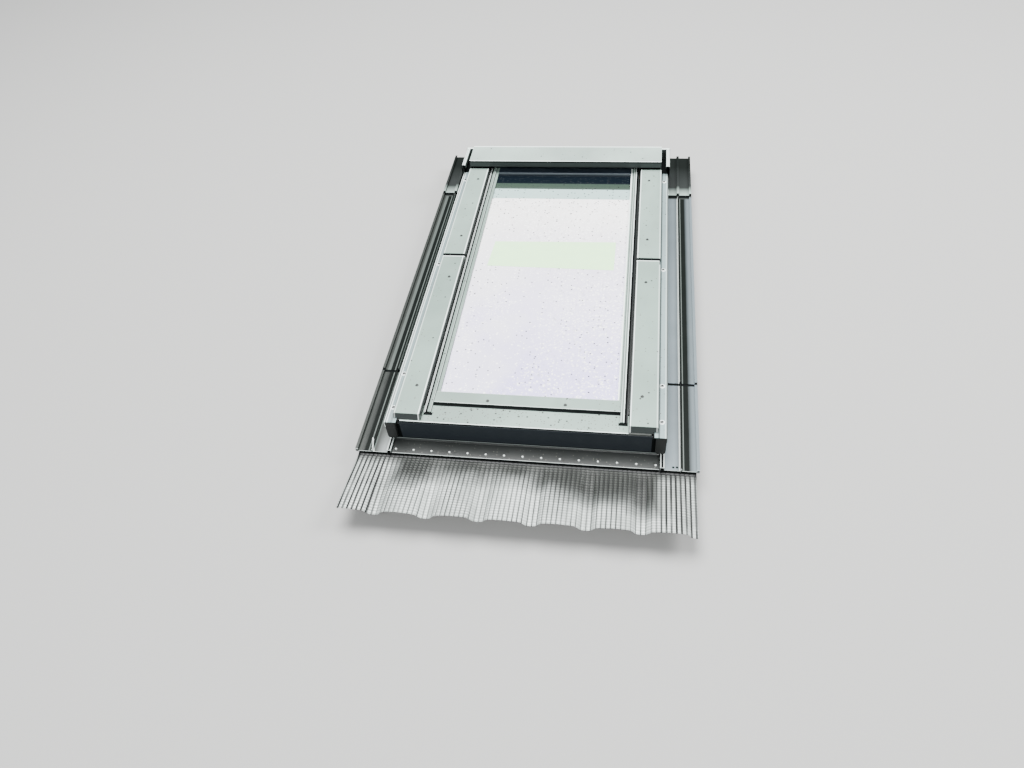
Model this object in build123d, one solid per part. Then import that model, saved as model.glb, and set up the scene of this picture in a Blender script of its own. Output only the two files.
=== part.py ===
"""Centre-pivot roof window with its flashing kit, made for a profiled tile roof.

The window lies flat: X runs across it, +Y up the roof slope, +Z out of the roof. Z = 0 is the
top of the battens, on which the four mounting brackets stand, and the origin is at the middle
of their screw holes. All sizes are millimetres.
"""
import math
import os

from build123d import *

# Timber frame
frame_width = 550.0
frame_length = 980.0
frame_top = 77.0
frame_bottom = -25.0
jamb_thickness = 50.0
head_thickness = 36.0
sill_thickness = 40.0
sill_top = 70.0
jamb_step_run = 6.0

# Sash timber, its running gaps in the frame, and the glazing rebate
side_gap = 3.0
head_gap = 2.0
sill_gap = 10.0
sash_bottom = 2.0
sash_top = 75.0
stile_thickness = 37.0
top_rail_thickness = 29.0
bottom_rail_thickness = 35.0
side_rebate_wall = 17.0
top_rebate_wall = 15.0
bottom_rebate_wall = 16.0

# Double glazing
glass_face = 72.0
pane_thickness = 4.0
cavity = 16.0
gasket_thickness = 2.0
gasket_width = 9.0
pane_edge_gap = 2.0
seal_width = 5.0
spacer_width = 8.0

# Sheet metal
cover_sheet = 1.0
flashing_sheet = 0.8
lap_gap = 0.3
cover_bend = 1.6
fold_bend = 2.5

# Wide side covers
cover_rise = 13.0
cover_overlap_in = 15.5
cover_margin_out = 12.2
cover_setback = 1.2
cover_front_slope = 5.0
cover_lip_gap = 1.3
cover_split_gap = 4.5
lip_notch_length = 26.0
lip_notch_width = 1.6
cover_split_past = 1.0
cover_hood_gap = 4.0
strip_hood_gap = 3.0
tongue_length = 8.0
tongue_step = 1.3
tongue_side_gap = 2.0
clip_length = 30.0
clip_slot = 6.0
clip_wall = 2.5
clip_margin = 8.0
clip_inset = 3.0
clip_width = 20.0
tongue_root = 12.0
tongue_web = 4.0

# Side strips and their end caps
strip_reach_out = 5.4
strip_inset = 19.0
strip_lip = 15.0
strip_end = 9.5
cap_width = 20.2
cap_height = 48.0
cap_depth = 7.8
cap_wall = 1.5
cap_low_corner = 6.0
cap_high_corner = 2.0

# Rail cover, beads
rail_cover_level = 76.0
rail_cover_inset = 2.0
rail_cover_nose = 2.4
rail_cover_lip = 3.6
bead_setback = 1.0
bead_depth = 31.0
bead_top = 78.0
rail_step = 6.8
side_bead_cover = 23.0
side_bead_step = 7.5
side_bead_width = 15.5
side_bead_top = 80.0
side_bead_shoulder = 76.5
side_bead_tail = 23.0
side_bead_floor = 5.5
side_bead_rim = 3.0
top_bead_cover = 26.7
top_rest_start = 4.0
top_rest_width = 2.0
bead_foot_gap = 0.2
bead_bend = 0.6
bead_slope = 0.6
rail_flange_drop = 3.0
rail_bend = 1.6

# Sill cover
sill_cover_inset = 23.0
sill_cover_foot = 24.0
sill_cover_stand = 1.1
sill_cover_bend = 0.9

# Hood
hood_inset = 14.5
hood_depth = 78.0
hood_back_inset = 1.0
hood_foot = 96.4
hood_top = 114.0
hood_return = 5.0

# Pivot hinge: a semicircular rib on the sash plate turns in a groove of the frame plate
pivot_rise = 31.0
sash_travel = 160.0
rib_radius = 30.0
rib_width = 4.0
rib_clearance = 0.15
rib_height = 3.5
rib_tip_gap = 0.3
plate_gap = 1.5
frame_plate_thickness = 6.0
sash_plate_thickness = 2.0
plate_inner_radius = 20.0
plate_outer_radius = 40.0
plate_top_gap = 2.6
plate_tab_reach = 56.0
plate_tab_low = 42.0
plate_tab_high = 26.0
plate_screw_reach = 48.0
plate_screw_drop = 34.0
plate_sink = 1.2
sash_plate_stand = 0.5

# Handle, its tongue and the keeper
handle_setback = 17.0
spindle_radius = 5.0
spindle_clearance = 0.1
tongue_reach = 36.0
tongue_width = 11.0
tongue_low = 19.6
tongue_thickness = 4.8
tongue_clearance = 0.6
lever_length = 105.0
lever_width = 15.0
lever_thickness = 9.0
lever_drop = 9.0
base_length = 60.0
base_width = 27.0
base_thickness = 4.0
keeper_thickness = 2.0
keeper_depth = 12.0
keeper_half = 40.0
keeper_height = 17.0
keeper_play = 1.6
keeper_side_play = 25.5
tongue_side_play = 2.0
tongue_corner = 4.0
neck_extra = 2.5
lever_round = 3.0
base_corner = 6.0

# Bolt that holds the sash turned over for cleaning
bolt_reach = 310.0
bolt_level = 25.0
bolt_radius = 4.0
bolt_clearance = 0.1
bolt_travel = 12.0
bolt_knob_radius = 8.0
bolt_knob_length = 15.0
guide_thickness = 4.0
bush_radius = 7.0
bush_length = 15.0
bush_play = 0.3
bush_floor = 1.5
guide_half_width = 20.0
guide_half_height = 12.0
knob_stand = 2.0
knob_chamfer = 1.5

# Flashing: pan levels, welt and outer edge
pan_level = 14.8
lap_rise = 1.1
upstand_gap = 1.1
upstand_top = 73.0
welt_reach = 35.5
welt_half = 1.2
welt_height = 6.0
outer_pan = 34.5
outer_hem = 5.0
corner_length = 192.0
gutter_lap = 30.0
top_lap_lead = 9.0
wing_gap = 8.4
wing_hem_width = 10.8
wing_hem_drop = 12.0
wing_top = 104.0
wing_bend = 4.0
back_wall_gap = 10.0
back_gutter = 90.0
seam_inset = 5.0
seam_outset = 3.5
seam_height = 7.0
seam_drop = 1.0
welt_growth = 0.2
back_hem_width = 8.8

# Bottom flashing, its studs and the pleated skirt
band_inset = 7.0
band_reach = 37.5
band_lift = 0.7
band_rise = 1.5
band_hem = 3.0
band_hem_back = 8.0
band_bend = 3.5
band_upstand_drop = 8.0
stud_count = 15
stud_margin = 6.2
stud_setback = 9.0
stud_radius = 3.2
stud_height = 1.3
stud_crown = 1.8
stud_shank = 1.3
stud_seat = 0.2
stud_tail = 1.0
skirt_inset = 5.0
skirt_lap = 21.5
skirt_lead = 8.5
skirt_reach = 148.5
skirt_sheet = 1.0
skirt_dip = 5.0
skirt_rise = 10.0
skirt_flat = 1.5
break_drape = 0.08
pleat_pitch = 9.1
pleat_height = 2.6
pleat_root_height = 0.5
tile_wave = 98.0
tile_wave_height = 10.0
tile_flatness = 1.8

# Mounting brackets
bracket_end_gap = 160.0
bracket_width = 60.0
bracket_sheet = 2.5
bracket_leg = 52.0
bracket_recess = 3.5
bracket_reach = 65.0
bracket_hole_radius = 3.25
bracket_hole_margin = 15.0
bracket_hole_pitch = 25.0
bracket_screw_spread = 18.0
bracket_screw_level = 40.0
bracket_bend = 1.5

# Seals and setting blocks
seal_thickness = 2.4
seal_level = 32.0
seal_height = 12.0
seal_end_gap = 6.0
head_seal_thickness = 1.5
sill_seal_back = 13.0
sill_seal_base = 9.0
sill_seal_crown = 7.0
sill_seal_bevel = 2.0
block_length = 60.0
block_reach_x = 120.0
block_reach_y = 300.0

# Screws: head radius, head height, shank radius, shank length
small_screw = (3.6, 1.6, 1.5, 10.0)
strip_screw = (4.2, 1.4, 1.5, 14.0)
flat_screw = (3.5, 1.0, 1.6, 16.0)
cover_screw_inset = 45.0
cover_screw_front = 82.0
cover_screw_below = 89.0
cover_screw_above = 71.0
cover_screw_back = 53.0
strip_screw_inset = 5.5
strip_screw_front = 30.0
strip_screw_next = 125.0
strip_screw_middle = 4.0
strip_screw_back = 39.0
bead_screw_line = 79.0
bead_screw_setback = 10.0
pilot_play = 0.05
hole_play = 0.1
crown_share = 0.72

# Derived places
half_width = frame_width / 2
half_length = frame_length / 2
cover_top = frame_top + cover_rise
jamb_face = half_width - jamb_thickness
head_face = half_length - head_thickness
sill_face = -half_length + sill_thickness
stile_face = jamb_face - side_gap
stile_inner = stile_face - stile_thickness
sash_head = head_face - head_gap
sash_sill = sill_face + sill_gap
rebate_side = stile_face - side_rebate_wall
rebate_head = sash_head - top_rebate_wall
rebate_sill = sash_sill + bottom_rebate_wall
rail_inner_top = sash_head - top_rail_thickness
rail_inner_bottom = sash_sill + bottom_rail_thickness
ledge_top = glass_face - 2 * pane_thickness - cavity - gasket_thickness
pane_half = rebate_side - pane_edge_gap
pane_head = rebate_head - pane_edge_gap
pane_sill = rebate_sill + pane_edge_gap
cover_in = stile_face - cover_overlap_in
cover_out = half_width - cover_margin_out
cover_under = cover_top - cover_sheet
cover_inner_foot = sash_top + cover_lip_gap
strip_top = frame_top + cover_sheet
strip_out = half_width + strip_reach_out
cover_outer_foot = strip_top + cover_lip_gap
cover_front = -half_length + cover_setback
strip_inner = half_width - strip_inset
sill_cover_half = half_width - sill_cover_inset
rail_cover_half = sill_cover_half - rail_cover_inset
side_bead_inner = rebate_side - side_bead_cover
side_bead_outer = side_bead_inner + side_bead_width
side_bead_end = half_length - side_bead_tail
top_bead_edge = rebate_head - top_bead_cover
bead_front = -sash_sill - bead_setback
bead_back = bead_front - bead_depth
hood_half = half_width - hood_inset
hood_back = half_length - hood_back_inset
hood_front = hood_back - hood_depth
pivot_level = cover_top
sill_front = -half_length - flashing_sheet - 0.1
sill_cover_face = sill_front - sill_cover_stand
sash_plate_face = stile_face + sash_plate_stand
frame_plate_face = sash_plate_face + plate_gap
rail_nose = -half_length - rail_cover_nose
handle_y = rail_inner_bottom - handle_setback
corner_upstand = half_width + upstand_gap
welt_centre = half_width + welt_reach
flashing_half = welt_centre + outer_pan
wing_wall = half_width + wing_gap
seam_inner = half_width - seam_inset
seam_outer = half_width + seam_outset
band_half = half_width - band_inset
skirt_half = flashing_half - skirt_inset
bracket_out = half_width + bracket_reach
bracket_hole_outer = bracket_out - bracket_hole_margin
bracket_hole_inner = bracket_hole_outer - bracket_hole_pitch
cover_split = pivot_rise + cover_split_past
rail_back = -(bead_front + rail_step)
corner_lap = -half_length + corner_length
top_lap = hood_front - top_lap_lead
back_wall = half_length + back_wall_gap
back_end = back_wall + back_gutter
band_front = half_length + band_reach
stud_line = band_front - stud_setback
stud_pitch = 2 * (band_half - stud_margin) / (stud_count - 1)
skirt_root = band_front - skirt_lap
skirt_break = band_front + skirt_lead
skirt_end = band_front + skirt_reach
bracket_reach_y = half_length - bracket_end_gap
cover_screw_line = half_width - cover_screw_inset
cover_screw_rows = (cover_front + cover_screw_front, cover_split - cover_screw_below,
                    cover_split + cover_screw_above, hood_front - cover_screw_back)
strip_screw_line = half_width - strip_screw_inset
strip_screw_rows = (-half_length + strip_screw_front, -half_length + strip_screw_next,
                    strip_screw_middle, hood_front - strip_screw_back)
bead_screw_row = -bead_front + bead_screw_setback
gutter_level = pan_level + lap_rise
back_hem_inner = back_wall - back_hem_width
band_level = pan_level + band_lift
skirt_root_level = band_level - band_hem - lap_gap - pleat_root_height / 2
wing_level = gutter_level + lap_rise


def block(x, y, z):
    """Solid block between two values on each axis."""
    size = [high - low for low, high in (x, y, z)]
    middle = [(high + low) / 2 for low, high in (x, y, z)]
    return Pos(*middle) * Box(*size)


def cylinder_along(axis, centre, radius, span):
    """Round bar between two values of its axis, through a centre given on the other two."""
    length = span[1] - span[0]
    middle = (span[0] + span[1]) / 2
    if axis == "x":
        return Pos(middle, *centre) * Rot(0, 90, 0) * Cylinder(radius, length)
    return Pos(*centre, middle) * Cylinder(radius, length)


def mirrored(solid):
    """The same piece on the other side of the window."""
    return mirror(solid, about=Plane.YZ)


def unit(start, end):
    """Direction from one point of a section to the next."""
    length = math.dist(start, end)
    return (end[0] - start[0]) / length, (end[1] - start[1]) / length


def offset_path(path, distance):
    """Points of the path moved to its right by a distance, mitred at the corners."""
    sides = [unit(a, b) for a, b in zip(path, path[1:])]
    moved = []
    for index, point in enumerate(path):
        before = sides[max(index - 1, 0)]
        after = sides[min(index, len(sides) - 1)]
        normal = (before[1] + after[1], -before[0] - after[0])
        scale = distance * 2 / (normal[0] ** 2 + normal[1] ** 2)
        moved.append((point[0] + normal[0] * scale, point[1] + normal[1] * scale))
    return moved


def rounded_edges(path, radii):
    """Lines along a path, with an arc at each corner whose radius is not zero."""
    edges = []
    start = path[0]
    for index in range(1, len(path) - 1):
        corner = path[index]
        before = unit(path[index - 1], corner)
        after = unit(corner, path[index + 1])
        turn = before[0] * after[1] - before[1] * after[0]
        radius = radii[index - 1]
        if radius <= 0:
            edges.append(Line(start, corner))
            start = corner
            continue
        angle = math.atan2(abs(turn), before[0] * after[0] + before[1] * after[1])
        back = radius * math.tan(angle / 2)
        arc_start = (corner[0] - before[0] * back, corner[1] - before[1] * back)
        arc_end = (corner[0] + after[0] * back, corner[1] + after[1] * back)
        side = math.copysign(1.0, turn)
        centre = (arc_start[0] - before[1] * radius * side, arc_start[1] + before[0] * radius * side)
        out = unit(centre, corner)
        crown = (centre[0] + out[0] * radius, centre[1] + out[1] * radius)
        edges.append(Line(start, arc_start))
        edges.append(ThreePointArc(arc_start, crown, arc_end))
        start = arc_end
    edges.append(Line(start, path[-1]))
    return edges


def sheet_section(path, thickness, bends):
    """Section of a folded sheet: the path is its visible skin and the sheet lies to its right,
    or to its left where the thickness is negative.

    bends holds the inner radius of each fold, with zero for a sharp one.
    """
    other = offset_path(path, thickness)
    skin_radii = []
    other_radii = []
    for index, bend in enumerate(bends):
        before = unit(path[index], path[index + 1])
        after = unit(path[index + 1], path[index + 2])
        turns_right = before[0] * after[1] - before[1] * after[0] < 0
        skin_outside = turns_right == (thickness > 0)
        outer = bend + abs(thickness) if bend > 0 else 0
        skin_radii.append(outer if skin_outside else bend)
        other_radii.append(bend if skin_outside else outer)
    edges = rounded_edges(path, skin_radii)
    edges.append(Line(path[-1], other[-1]))
    edges += rounded_edges(other[::-1], other_radii[::-1])
    edges.append(Line(other[0], path[0]))
    return make_face(edges)


def along_y(section, y):
    """Section in X and Z drawn out between two values of Y."""
    plane = Plane.XZ.offset(-y[0])
    return extrude(plane * section, amount=y[0] - y[1])


def along_x(section, x):
    """Section in Y and Z drawn out between two values of X."""
    plane = Plane.YZ.offset(x[0])
    return extrude(plane * section, amount=x[1] - x[0])


def sheet_along_y(path, thickness, bends, y):
    return along_y(sheet_section(path, thickness, bends), y)


def sheet_along_x(path, thickness, bends, x):
    return along_x(sheet_section(path, thickness, bends), x)


def screw(place, size, direction):
    """Screw whose head stands on the place: direction 0 is upright, 1 and -1 lie along X.

    Its shank runs from the place away from its head.
    """
    head_radius, head_height, shank_radius, shank_length = size
    x, y, z = place
    if direction == 0:
        head = Pos(x, y, z + head_height / 2) * Cone(head_radius, head_radius * crown_share, head_height)
        return head + cylinder_along("z", (x, y), shank_radius, (z - shank_length, z))
    head = cylinder_along("x", (y, z), head_radius, sorted((x, x + direction * head_height)))
    shank = cylinder_along("x", (y, z), shank_radius, sorted((x, x - direction * shank_length)))
    return head + shank


def shank_space(place, size, direction):
    """Hole in timber for a screw's shank."""
    x, y, z = place
    radius = size[2] + pilot_play
    if direction == 0:
        return cylinder_along("z", (x, y), radius, (z - size[3] - 1, z + 1))
    return cylinder_along("x", (y, z), radius, sorted((x + direction, x - direction * (size[3] + 1))))


def jamb_screws():
    """Place, size and direction of the screws that go into the right jamb."""
    places = [((strip_screw_line, y, strip_top), strip_screw, 0) for y in strip_screw_rows]
    for shift in (-plate_screw_reach, plate_screw_reach):
        place = (frame_plate_face + plate_sink, pivot_rise + shift, pivot_level - plate_screw_drop)
        places.append((place, flat_screw, -1))
    for y in (-bracket_reach_y, bracket_reach_y):
        for shift in (-bracket_screw_spread, bracket_screw_spread):
            place = (half_width - bracket_recess + bracket_sheet, y + shift, bracket_screw_level)
            places.append((place, flat_screw, 1))
    return places


def stile_screws():
    """The same for the right stile: the screws of the sash hinge plate."""
    level = pivot_level - plate_screw_drop
    return [((sash_plate_face, pivot_rise + shift, level), flat_screw, 1)
            for shift in (-plate_screw_reach, plate_screw_reach)]


def bead_screws():
    """The same for the bottom rail: the two screws of the bottom bead."""
    return [((x, bead_screw_row, bead_top), small_screw, 0) for x in (-bead_screw_line, bead_screw_line)]


def shank_hole(x, y, z, size):
    """Clearance hole for the shank of an upright screw through a sheet."""
    return cylinder_along("z", (x, y), size[2] + hole_play, z)


def group(solids):
    """Separate solids that share one node."""
    return Compound(children=[item for solid in solids for item in solid.solids()])


# Timber frame
def hinge_outline(outer, top_gap, reach):
    """Face in Y and Z of a hinge plate: a half ring with two screw tabs beside it."""
    level = Rectangle(4 * outer, 2 * outer, align=(Align.CENTER, Align.MAX))
    half_ring = (Circle(outer) - Circle(plate_inner_radius)) & (Pos(0, -top_gap) * level)
    tab = Pos(0, -plate_tab_low) * Rectangle(2 * reach, plate_tab_low - plate_tab_high,
                                             align=(Align.CENTER, Align.MIN))
    return Pos(pivot_rise, pivot_level) * (half_ring + (tab - Circle(plate_inner_radius)))


def hinge_pocket(x):
    """Space for a hinge plate in the timber beside it."""
    reach = plate_tab_reach + lap_gap
    low = pivot_level - plate_tab_low - lap_gap
    return block(x, (pivot_rise - reach, pivot_rise + reach), (low, pivot_level))


def bolt_points():
    """Where the bolt meets the jamb: with the sash shut, and with it turned right over."""
    shut = (pivot_rise + bolt_reach, bolt_level)
    angle = math.radians(sash_travel)
    drop = bolt_level - pivot_level
    y = bolt_reach * math.cos(angle) + drop * math.sin(angle)
    z = -bolt_reach * math.sin(angle) + drop * math.cos(angle)
    return shut, (pivot_rise + y, pivot_level + z)


def frame_jamb(side):
    """Side timber: pocketed for the hinge plate and, outside, for the two bracket legs.

    Its lower end is stepped down to the sill's level, to pass under the rail cover.
    """
    jamb = block((jamb_face, half_width), (-half_length, half_length), (frame_bottom, frame_top))
    jamb -= block((jamb_face - 1, sill_cover_half + 1), (-half_length - 1, sash_sill + jamb_step_run),
                  (sill_top, frame_top + 1))
    jamb -= hinge_pocket((jamb_face - 1, frame_plate_face + frame_plate_thickness))
    for place, size, direction in jamb_screws():
        jamb -= shank_space(place, size, direction)
    for y in (-bracket_reach_y, bracket_reach_y):
        reach = bracket_width / 2 + lap_gap
        jamb -= block((half_width - bracket_recess, half_width + 1), (y - reach, y + reach),
                      (-lap_gap, bracket_leg + lap_gap))
    if side == "right":
        for point in bolt_points():
            jamb -= cylinder_along("x", point, bush_radius + hole_play,
                                   (jamb_face - 1, jamb_face + bush_length + lap_gap))
        return jamb
    return mirrored(jamb)


def frame_head():
    """Top timber between the jambs."""
    return block((-jamb_face, jamb_face), (head_face, half_length), (frame_bottom, frame_top))


def keeper_mouth(y):
    """Space that the handle's tongue swings into, in front of the handle."""
    reach = tongue_width / 2 + keeper_side_play
    return block((-reach, reach), y, (tongue_low - keeper_play, tongue_low + tongue_thickness + keeper_play))


def frame_sill():
    """Bottom timber between the jambs, hollowed behind the keeper."""
    sill = block((-jamb_face, jamb_face), (-half_length, sill_face), (frame_bottom, sill_top))
    return sill - keeper_mouth((sill_face - keeper_depth, sill_face + 1))


def latch_keeper():
    """Steel plate with the slot that takes the handle's tongue."""
    middle = tongue_low + tongue_thickness / 2
    plate = block((-keeper_half, keeper_half), (sill_face, sill_face + keeper_thickness),
                  (middle - keeper_height / 2, middle + keeper_height / 2))
    return plate - keeper_mouth((sill_face - 1, sill_face + keeper_thickness + 1))


def bolt_bushes():
    """Two flush bushes in the right jamb for the cleaning bolt."""
    bushes = []
    for point in bolt_points():
        bush = cylinder_along("x", point, bush_radius, (jamb_face + lap_gap, jamb_face + bush_length))
        bushes.append(bush - cylinder_along("x", point, bolt_radius + bush_play,
                                            (jamb_face, jamb_face + bush_length - bush_floor)))
    return group(bushes)


def mounting_brackets():
    """Four steel angles: one leg let into the jamb, the other flat on the battens."""
    angles = []
    inner = half_width - bracket_recess
    for y in (-bracket_reach_y, bracket_reach_y):
        width = (y - bracket_width / 2, y + bracket_width / 2)
        path = [(inner + bracket_sheet, bracket_leg), (inner + bracket_sheet, bracket_sheet),
                (bracket_out, bracket_sheet)]
        angle = sheet_along_y(path, bracket_sheet, [bracket_bend], width)
        for x in (bracket_hole_inner, bracket_hole_outer):
            angle -= cylinder_along("z", (x, y), bracket_hole_radius, (-1, bracket_sheet + 1))
        for shift in (-bracket_screw_spread, bracket_screw_spread):
            angle -= cylinder_along("x", (y + shift, bracket_screw_level), flat_screw[2] + hole_play,
                                    (inner - 1, inner + bracket_sheet + 1))
        angles += [angle, mirrored(angle)]
    return group(angles)


def frame_seal():
    """Rubber strips round the opening: two on each jamb, one on the sill and one on the head."""
    face = jamb_face - seal_thickness
    level = (seal_level, seal_level + seal_height)
    clear = plate_tab_reach + seal_end_gap
    shut, over = bolt_points()
    strips = []
    for run, bush in (((sash_sill, pivot_rise - clear), over), ((pivot_rise + clear, sash_head), shut)):
        strip = block((face, jamb_face), run, level)
        strip -= cylinder_along("x", bush, bush_radius + 2, (face - 1, jamb_face + 1))
        strips += [strip, mirrored(strip)]
    strips.append(block((-face, face), (head_face - head_seal_thickness, head_face), level))
    foot = sill_top + cover_sheet
    top = rail_cover_level - cover_sheet - lap_gap
    back = sill_face - sill_seal_back
    path = [(back - sill_seal_base, foot), (back - sill_seal_crown, top), (back, top),
            (back + sill_seal_bevel, foot)]
    section = make_face(Polyline(*path, close=True))
    strips.append(along_x(section, (1 - jamb_face, jamb_face - 1)))
    return group(strips)


# Pivot hinge
def rib_face(play):
    """Ring in Y and Z that the rib fills, or that its groove clears."""
    return Circle(rib_radius + rib_width / 2 + play) - Circle(rib_radius - rib_width / 2 - play)


def plate_screw_points():
    """Centres of a hinge plate's two screws, in Y and Z."""
    return [(pivot_rise + shift, pivot_level - plate_screw_drop)
            for shift in (-plate_screw_reach, plate_screw_reach)]


def hinge_frame_plate():
    """Plate let into the jamb, with the half-round groove that guides the sash."""
    outline = hinge_outline(plate_outer_radius, plate_top_gap + 1, plate_tab_reach)
    plate = along_x(outline, (frame_plate_face, frame_plate_face + frame_plate_thickness))
    groove = Pos(pivot_rise, pivot_level) * rib_face(rib_clearance)
    groove_end = sash_plate_face + rib_height + rib_tip_gap
    plate -= along_x(groove, (frame_plate_face - 1, groove_end))
    for point in plate_screw_points():
        plate -= cylinder_along("x", point, flat_screw[2] + hole_play,
                                (frame_plate_face, frame_plate_face + frame_plate_thickness + 1))
        plate -= cylinder_along("x", point, flat_screw[0] + 2 * hole_play,
                                (frame_plate_face - 1, frame_plate_face + plate_sink))
    return plate


def hinge_sash_plate():
    """Plate let into the stile, with the half-round rib that runs in the groove."""
    outline = hinge_outline(plate_outer_radius - 2, plate_top_gap, plate_tab_reach - 2)
    plate = along_x(outline, (sash_plate_face - sash_plate_thickness, sash_plate_face))
    level = Rectangle(4 * rib_radius, 2 * rib_radius, align=(Align.CENTER, Align.MAX))
    rib = rib_face(0.0) & (Pos(0, -plate_top_gap) * level)
    plate += along_x(Pos(pivot_rise, pivot_level) * rib,
                     (sash_plate_face - sash_plate_thickness / 2, sash_plate_face + rib_height))
    for point in plate_screw_points():
        plate -= cylinder_along("x", point, flat_screw[2] + hole_play,
                                (sash_plate_face - sash_plate_thickness - 1, sash_plate_face + 1))
    return plate


# Frame covers
def sill_cover():
    """Dark sheet over the sill: a flange on its top and a deep front face."""
    path = [(sill_face - 2, sill_top + cover_sheet), (sill_cover_face, sill_top + cover_sheet),
            (sill_cover_face, sill_cover_foot)]
    return sheet_along_x(path, -cover_sheet, [sill_cover_bend], (-sill_cover_half, sill_cover_half))


def side_strip():
    """Flat strip along the jamb's outer edge, its lip turned down over the flashing."""
    path = [(strip_inner, strip_top), (strip_out, strip_top), (strip_out, strip_top - strip_lip)]
    run = (-half_length - strip_end, hood_back - strip_hood_gap)
    strip = sheet_along_y(path, cover_sheet, [cover_bend], run)
    for y in strip_screw_rows:
        strip -= shank_hole(strip_screw_line, y, (frame_top - 1, strip_top + 1), strip_screw)
    return strip


def end_cap():
    """Dark cap under the strip's lower end, rounded below and open behind."""
    top = frame_top
    centre = strip_out - cover_sheet - cap_width / 2
    outline = Pos(centre, top - cap_height / 2) * Rectangle(cap_width, cap_height)
    corners = outline.vertices().sort_by(Axis.Y)
    outline = fillet(corners[:2], cap_low_corner)
    outline = fillet(outline.vertices().sort_by(Axis.Y)[-2:], cap_high_corner)
    front = -half_length - strip_end
    cap = along_y(outline, (front, front + cap_depth))
    hollow = Pos(centre, top - cap_height / 2) * Rectangle(cap_width - 2 * cap_wall,
                                                           cap_height - 2 * cap_wall)
    hollow = fillet(hollow.vertices(), cap_low_corner - cap_wall)
    return cap - along_y(hollow, (front + cap_wall, front + cap_depth + 1))


def cover_path(inner_foot):
    """Section of a wide side cover, from its inner lip over the top to its outer lip."""
    return [(cover_in, inner_foot), (cover_in, cover_top), (cover_out, cover_top),
            (cover_out, cover_outer_foot)]


def cover_holes(rows):
    """Shank holes of the cover's small screws."""
    return [shank_hole(cover_screw_line, y, (cover_under - 1, cover_top + 1), small_screw)
            for y in rows]


def upper_cover():
    """Wide cover fixed to the jamb above the pivot, running up under the hood."""
    run = (cover_split, hood_back - cover_hood_gap)
    cover = sheet_along_y(cover_path(frame_top + lap_gap), cover_sheet, [cover_bend, cover_bend], run)
    for hole in cover_holes([y for y in cover_screw_rows if y > pivot_rise]):
        cover -= hole
    return cover


def lower_cover():
    """Wide cover that swings with the sash: closed in front, tongued under the upper one.

    Its front end leans back, and its outer lip is cut back beside the pivot.
    """
    back = cover_split - cover_split_gap
    shell = sheet_along_y(cover_path(cover_inner_foot), cover_sheet, [cover_bend, cover_bend],
                          (cover_front, back))
    step = sill_cover_half + 1
    outline = [(cover_in, cover_inner_foot), (cover_in, cover_top), (cover_out, cover_top),
               (cover_out, cover_outer_foot), (step, cover_outer_foot), (step, cover_inner_foot)]
    bend = cover_bend + cover_sheet
    profile = make_face(rounded_edges(outline + [outline[0]], [bend, bend, 0, 0, 0]))
    crest = cover_front + cover_front_slope
    lean = [(cover_front, cover_inner_foot), (crest, cover_top)]
    inner = offset_path(lean, cover_sheet)
    width = (cover_in, cover_out)
    slab = along_x(make_face(Polyline(*lean, *inner[::-1], close=True)), width)
    ahead = [(cover_front, cover_inner_foot), (crest, cover_top), (crest, cover_top + 1),
             (cover_front - 1, cover_top + 1), (cover_front - 1, cover_inner_foot)]
    shell -= along_x(make_face(Polyline(*ahead, close=True)), width)
    cover = shell + (slab & along_y(profile, (cover_front - 1, crest + cover_sheet)))
    side = (cover_in + tongue_side_gap, cover_out - tongue_side_gap)
    level = (cover_under - tongue_step, cover_under - tongue_step + cover_sheet)
    root = back - tongue_root
    cover += block(side, (root, pivot_rise + tongue_length), level)
    cover += block(side, (root, root + tongue_web), (level[0], cover_under + cover_sheet / 2))
    cover -= block((cover_out - lip_notch_width, cover_out + 1), (back - lip_notch_length, back + 1),
                   (cover_outer_foot - 1, cover_top + 1))
    for hole in cover_holes([y for y in cover_screw_rows if y < pivot_rise]):
        cover -= hole
    return cover


def cover_clips(rows, x, foot, arm_foot):
    """Clips that carry a wide cover, one at each of its screws, on both sides.

    x holds the clip's foot; where the screw stands further out, an arm reaches to it.
    """
    clips = []
    reach = max(x[1], cover_screw_line + clip_margin)
    for y in rows:
        run = (y - clip_length / 2, y + clip_length / 2)
        clip = block(x, run, (foot, cover_under)) + block((x[0], reach), run, (arm_foot, cover_under))
        for slot in ((run[0] - 1, y - clip_slot), (y + clip_slot, run[1] + 1)):
            clip -= block((x[0] + clip_wall, x[1] - clip_wall), slot,
                          (foot + clip_wall, cover_under - clip_wall))
        clip -= shank_hole(cover_screw_line, y, (foot - 1, cover_under + 1), small_screw)
        clips += [clip, mirrored(clip)]
    return group(clips)


def hood():
    """Cap over the top of the window: front lip, flat top, back wall and two ends."""
    path = [(hood_front + hood_return, hood_foot), (hood_front, hood_foot), (hood_front, hood_top),
            (hood_back, hood_top), (hood_back, frame_top)]
    shell = sheet_along_x(path, cover_sheet, [0, cover_bend, cover_bend], (-hood_half, hood_half))
    end = block((hood_half - cover_sheet, hood_half),
                (hood_front + cover_sheet / 2, hood_back - cover_sheet / 2),
                (cover_top + lap_gap, hood_top - cover_sheet / 2))
    return shell + end + mirrored(end)


# Flashing
def pan_path(level, spread, hemmed=True):
    """Gutter floor from its welt to its outer edge, with the hem or, under a lap, without."""
    left = welt_centre - welt_half - spread
    right = welt_centre + welt_half + spread
    crest = level + welt_height + spread * welt_growth
    floor = [(left, level), (left, crest), (right, crest), (right, level), (flashing_half, level)]
    if not hemmed:
        return floor
    return floor + [(flashing_half, level + outer_hem), (flashing_half - outer_hem, level + outer_hem)]


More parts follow.
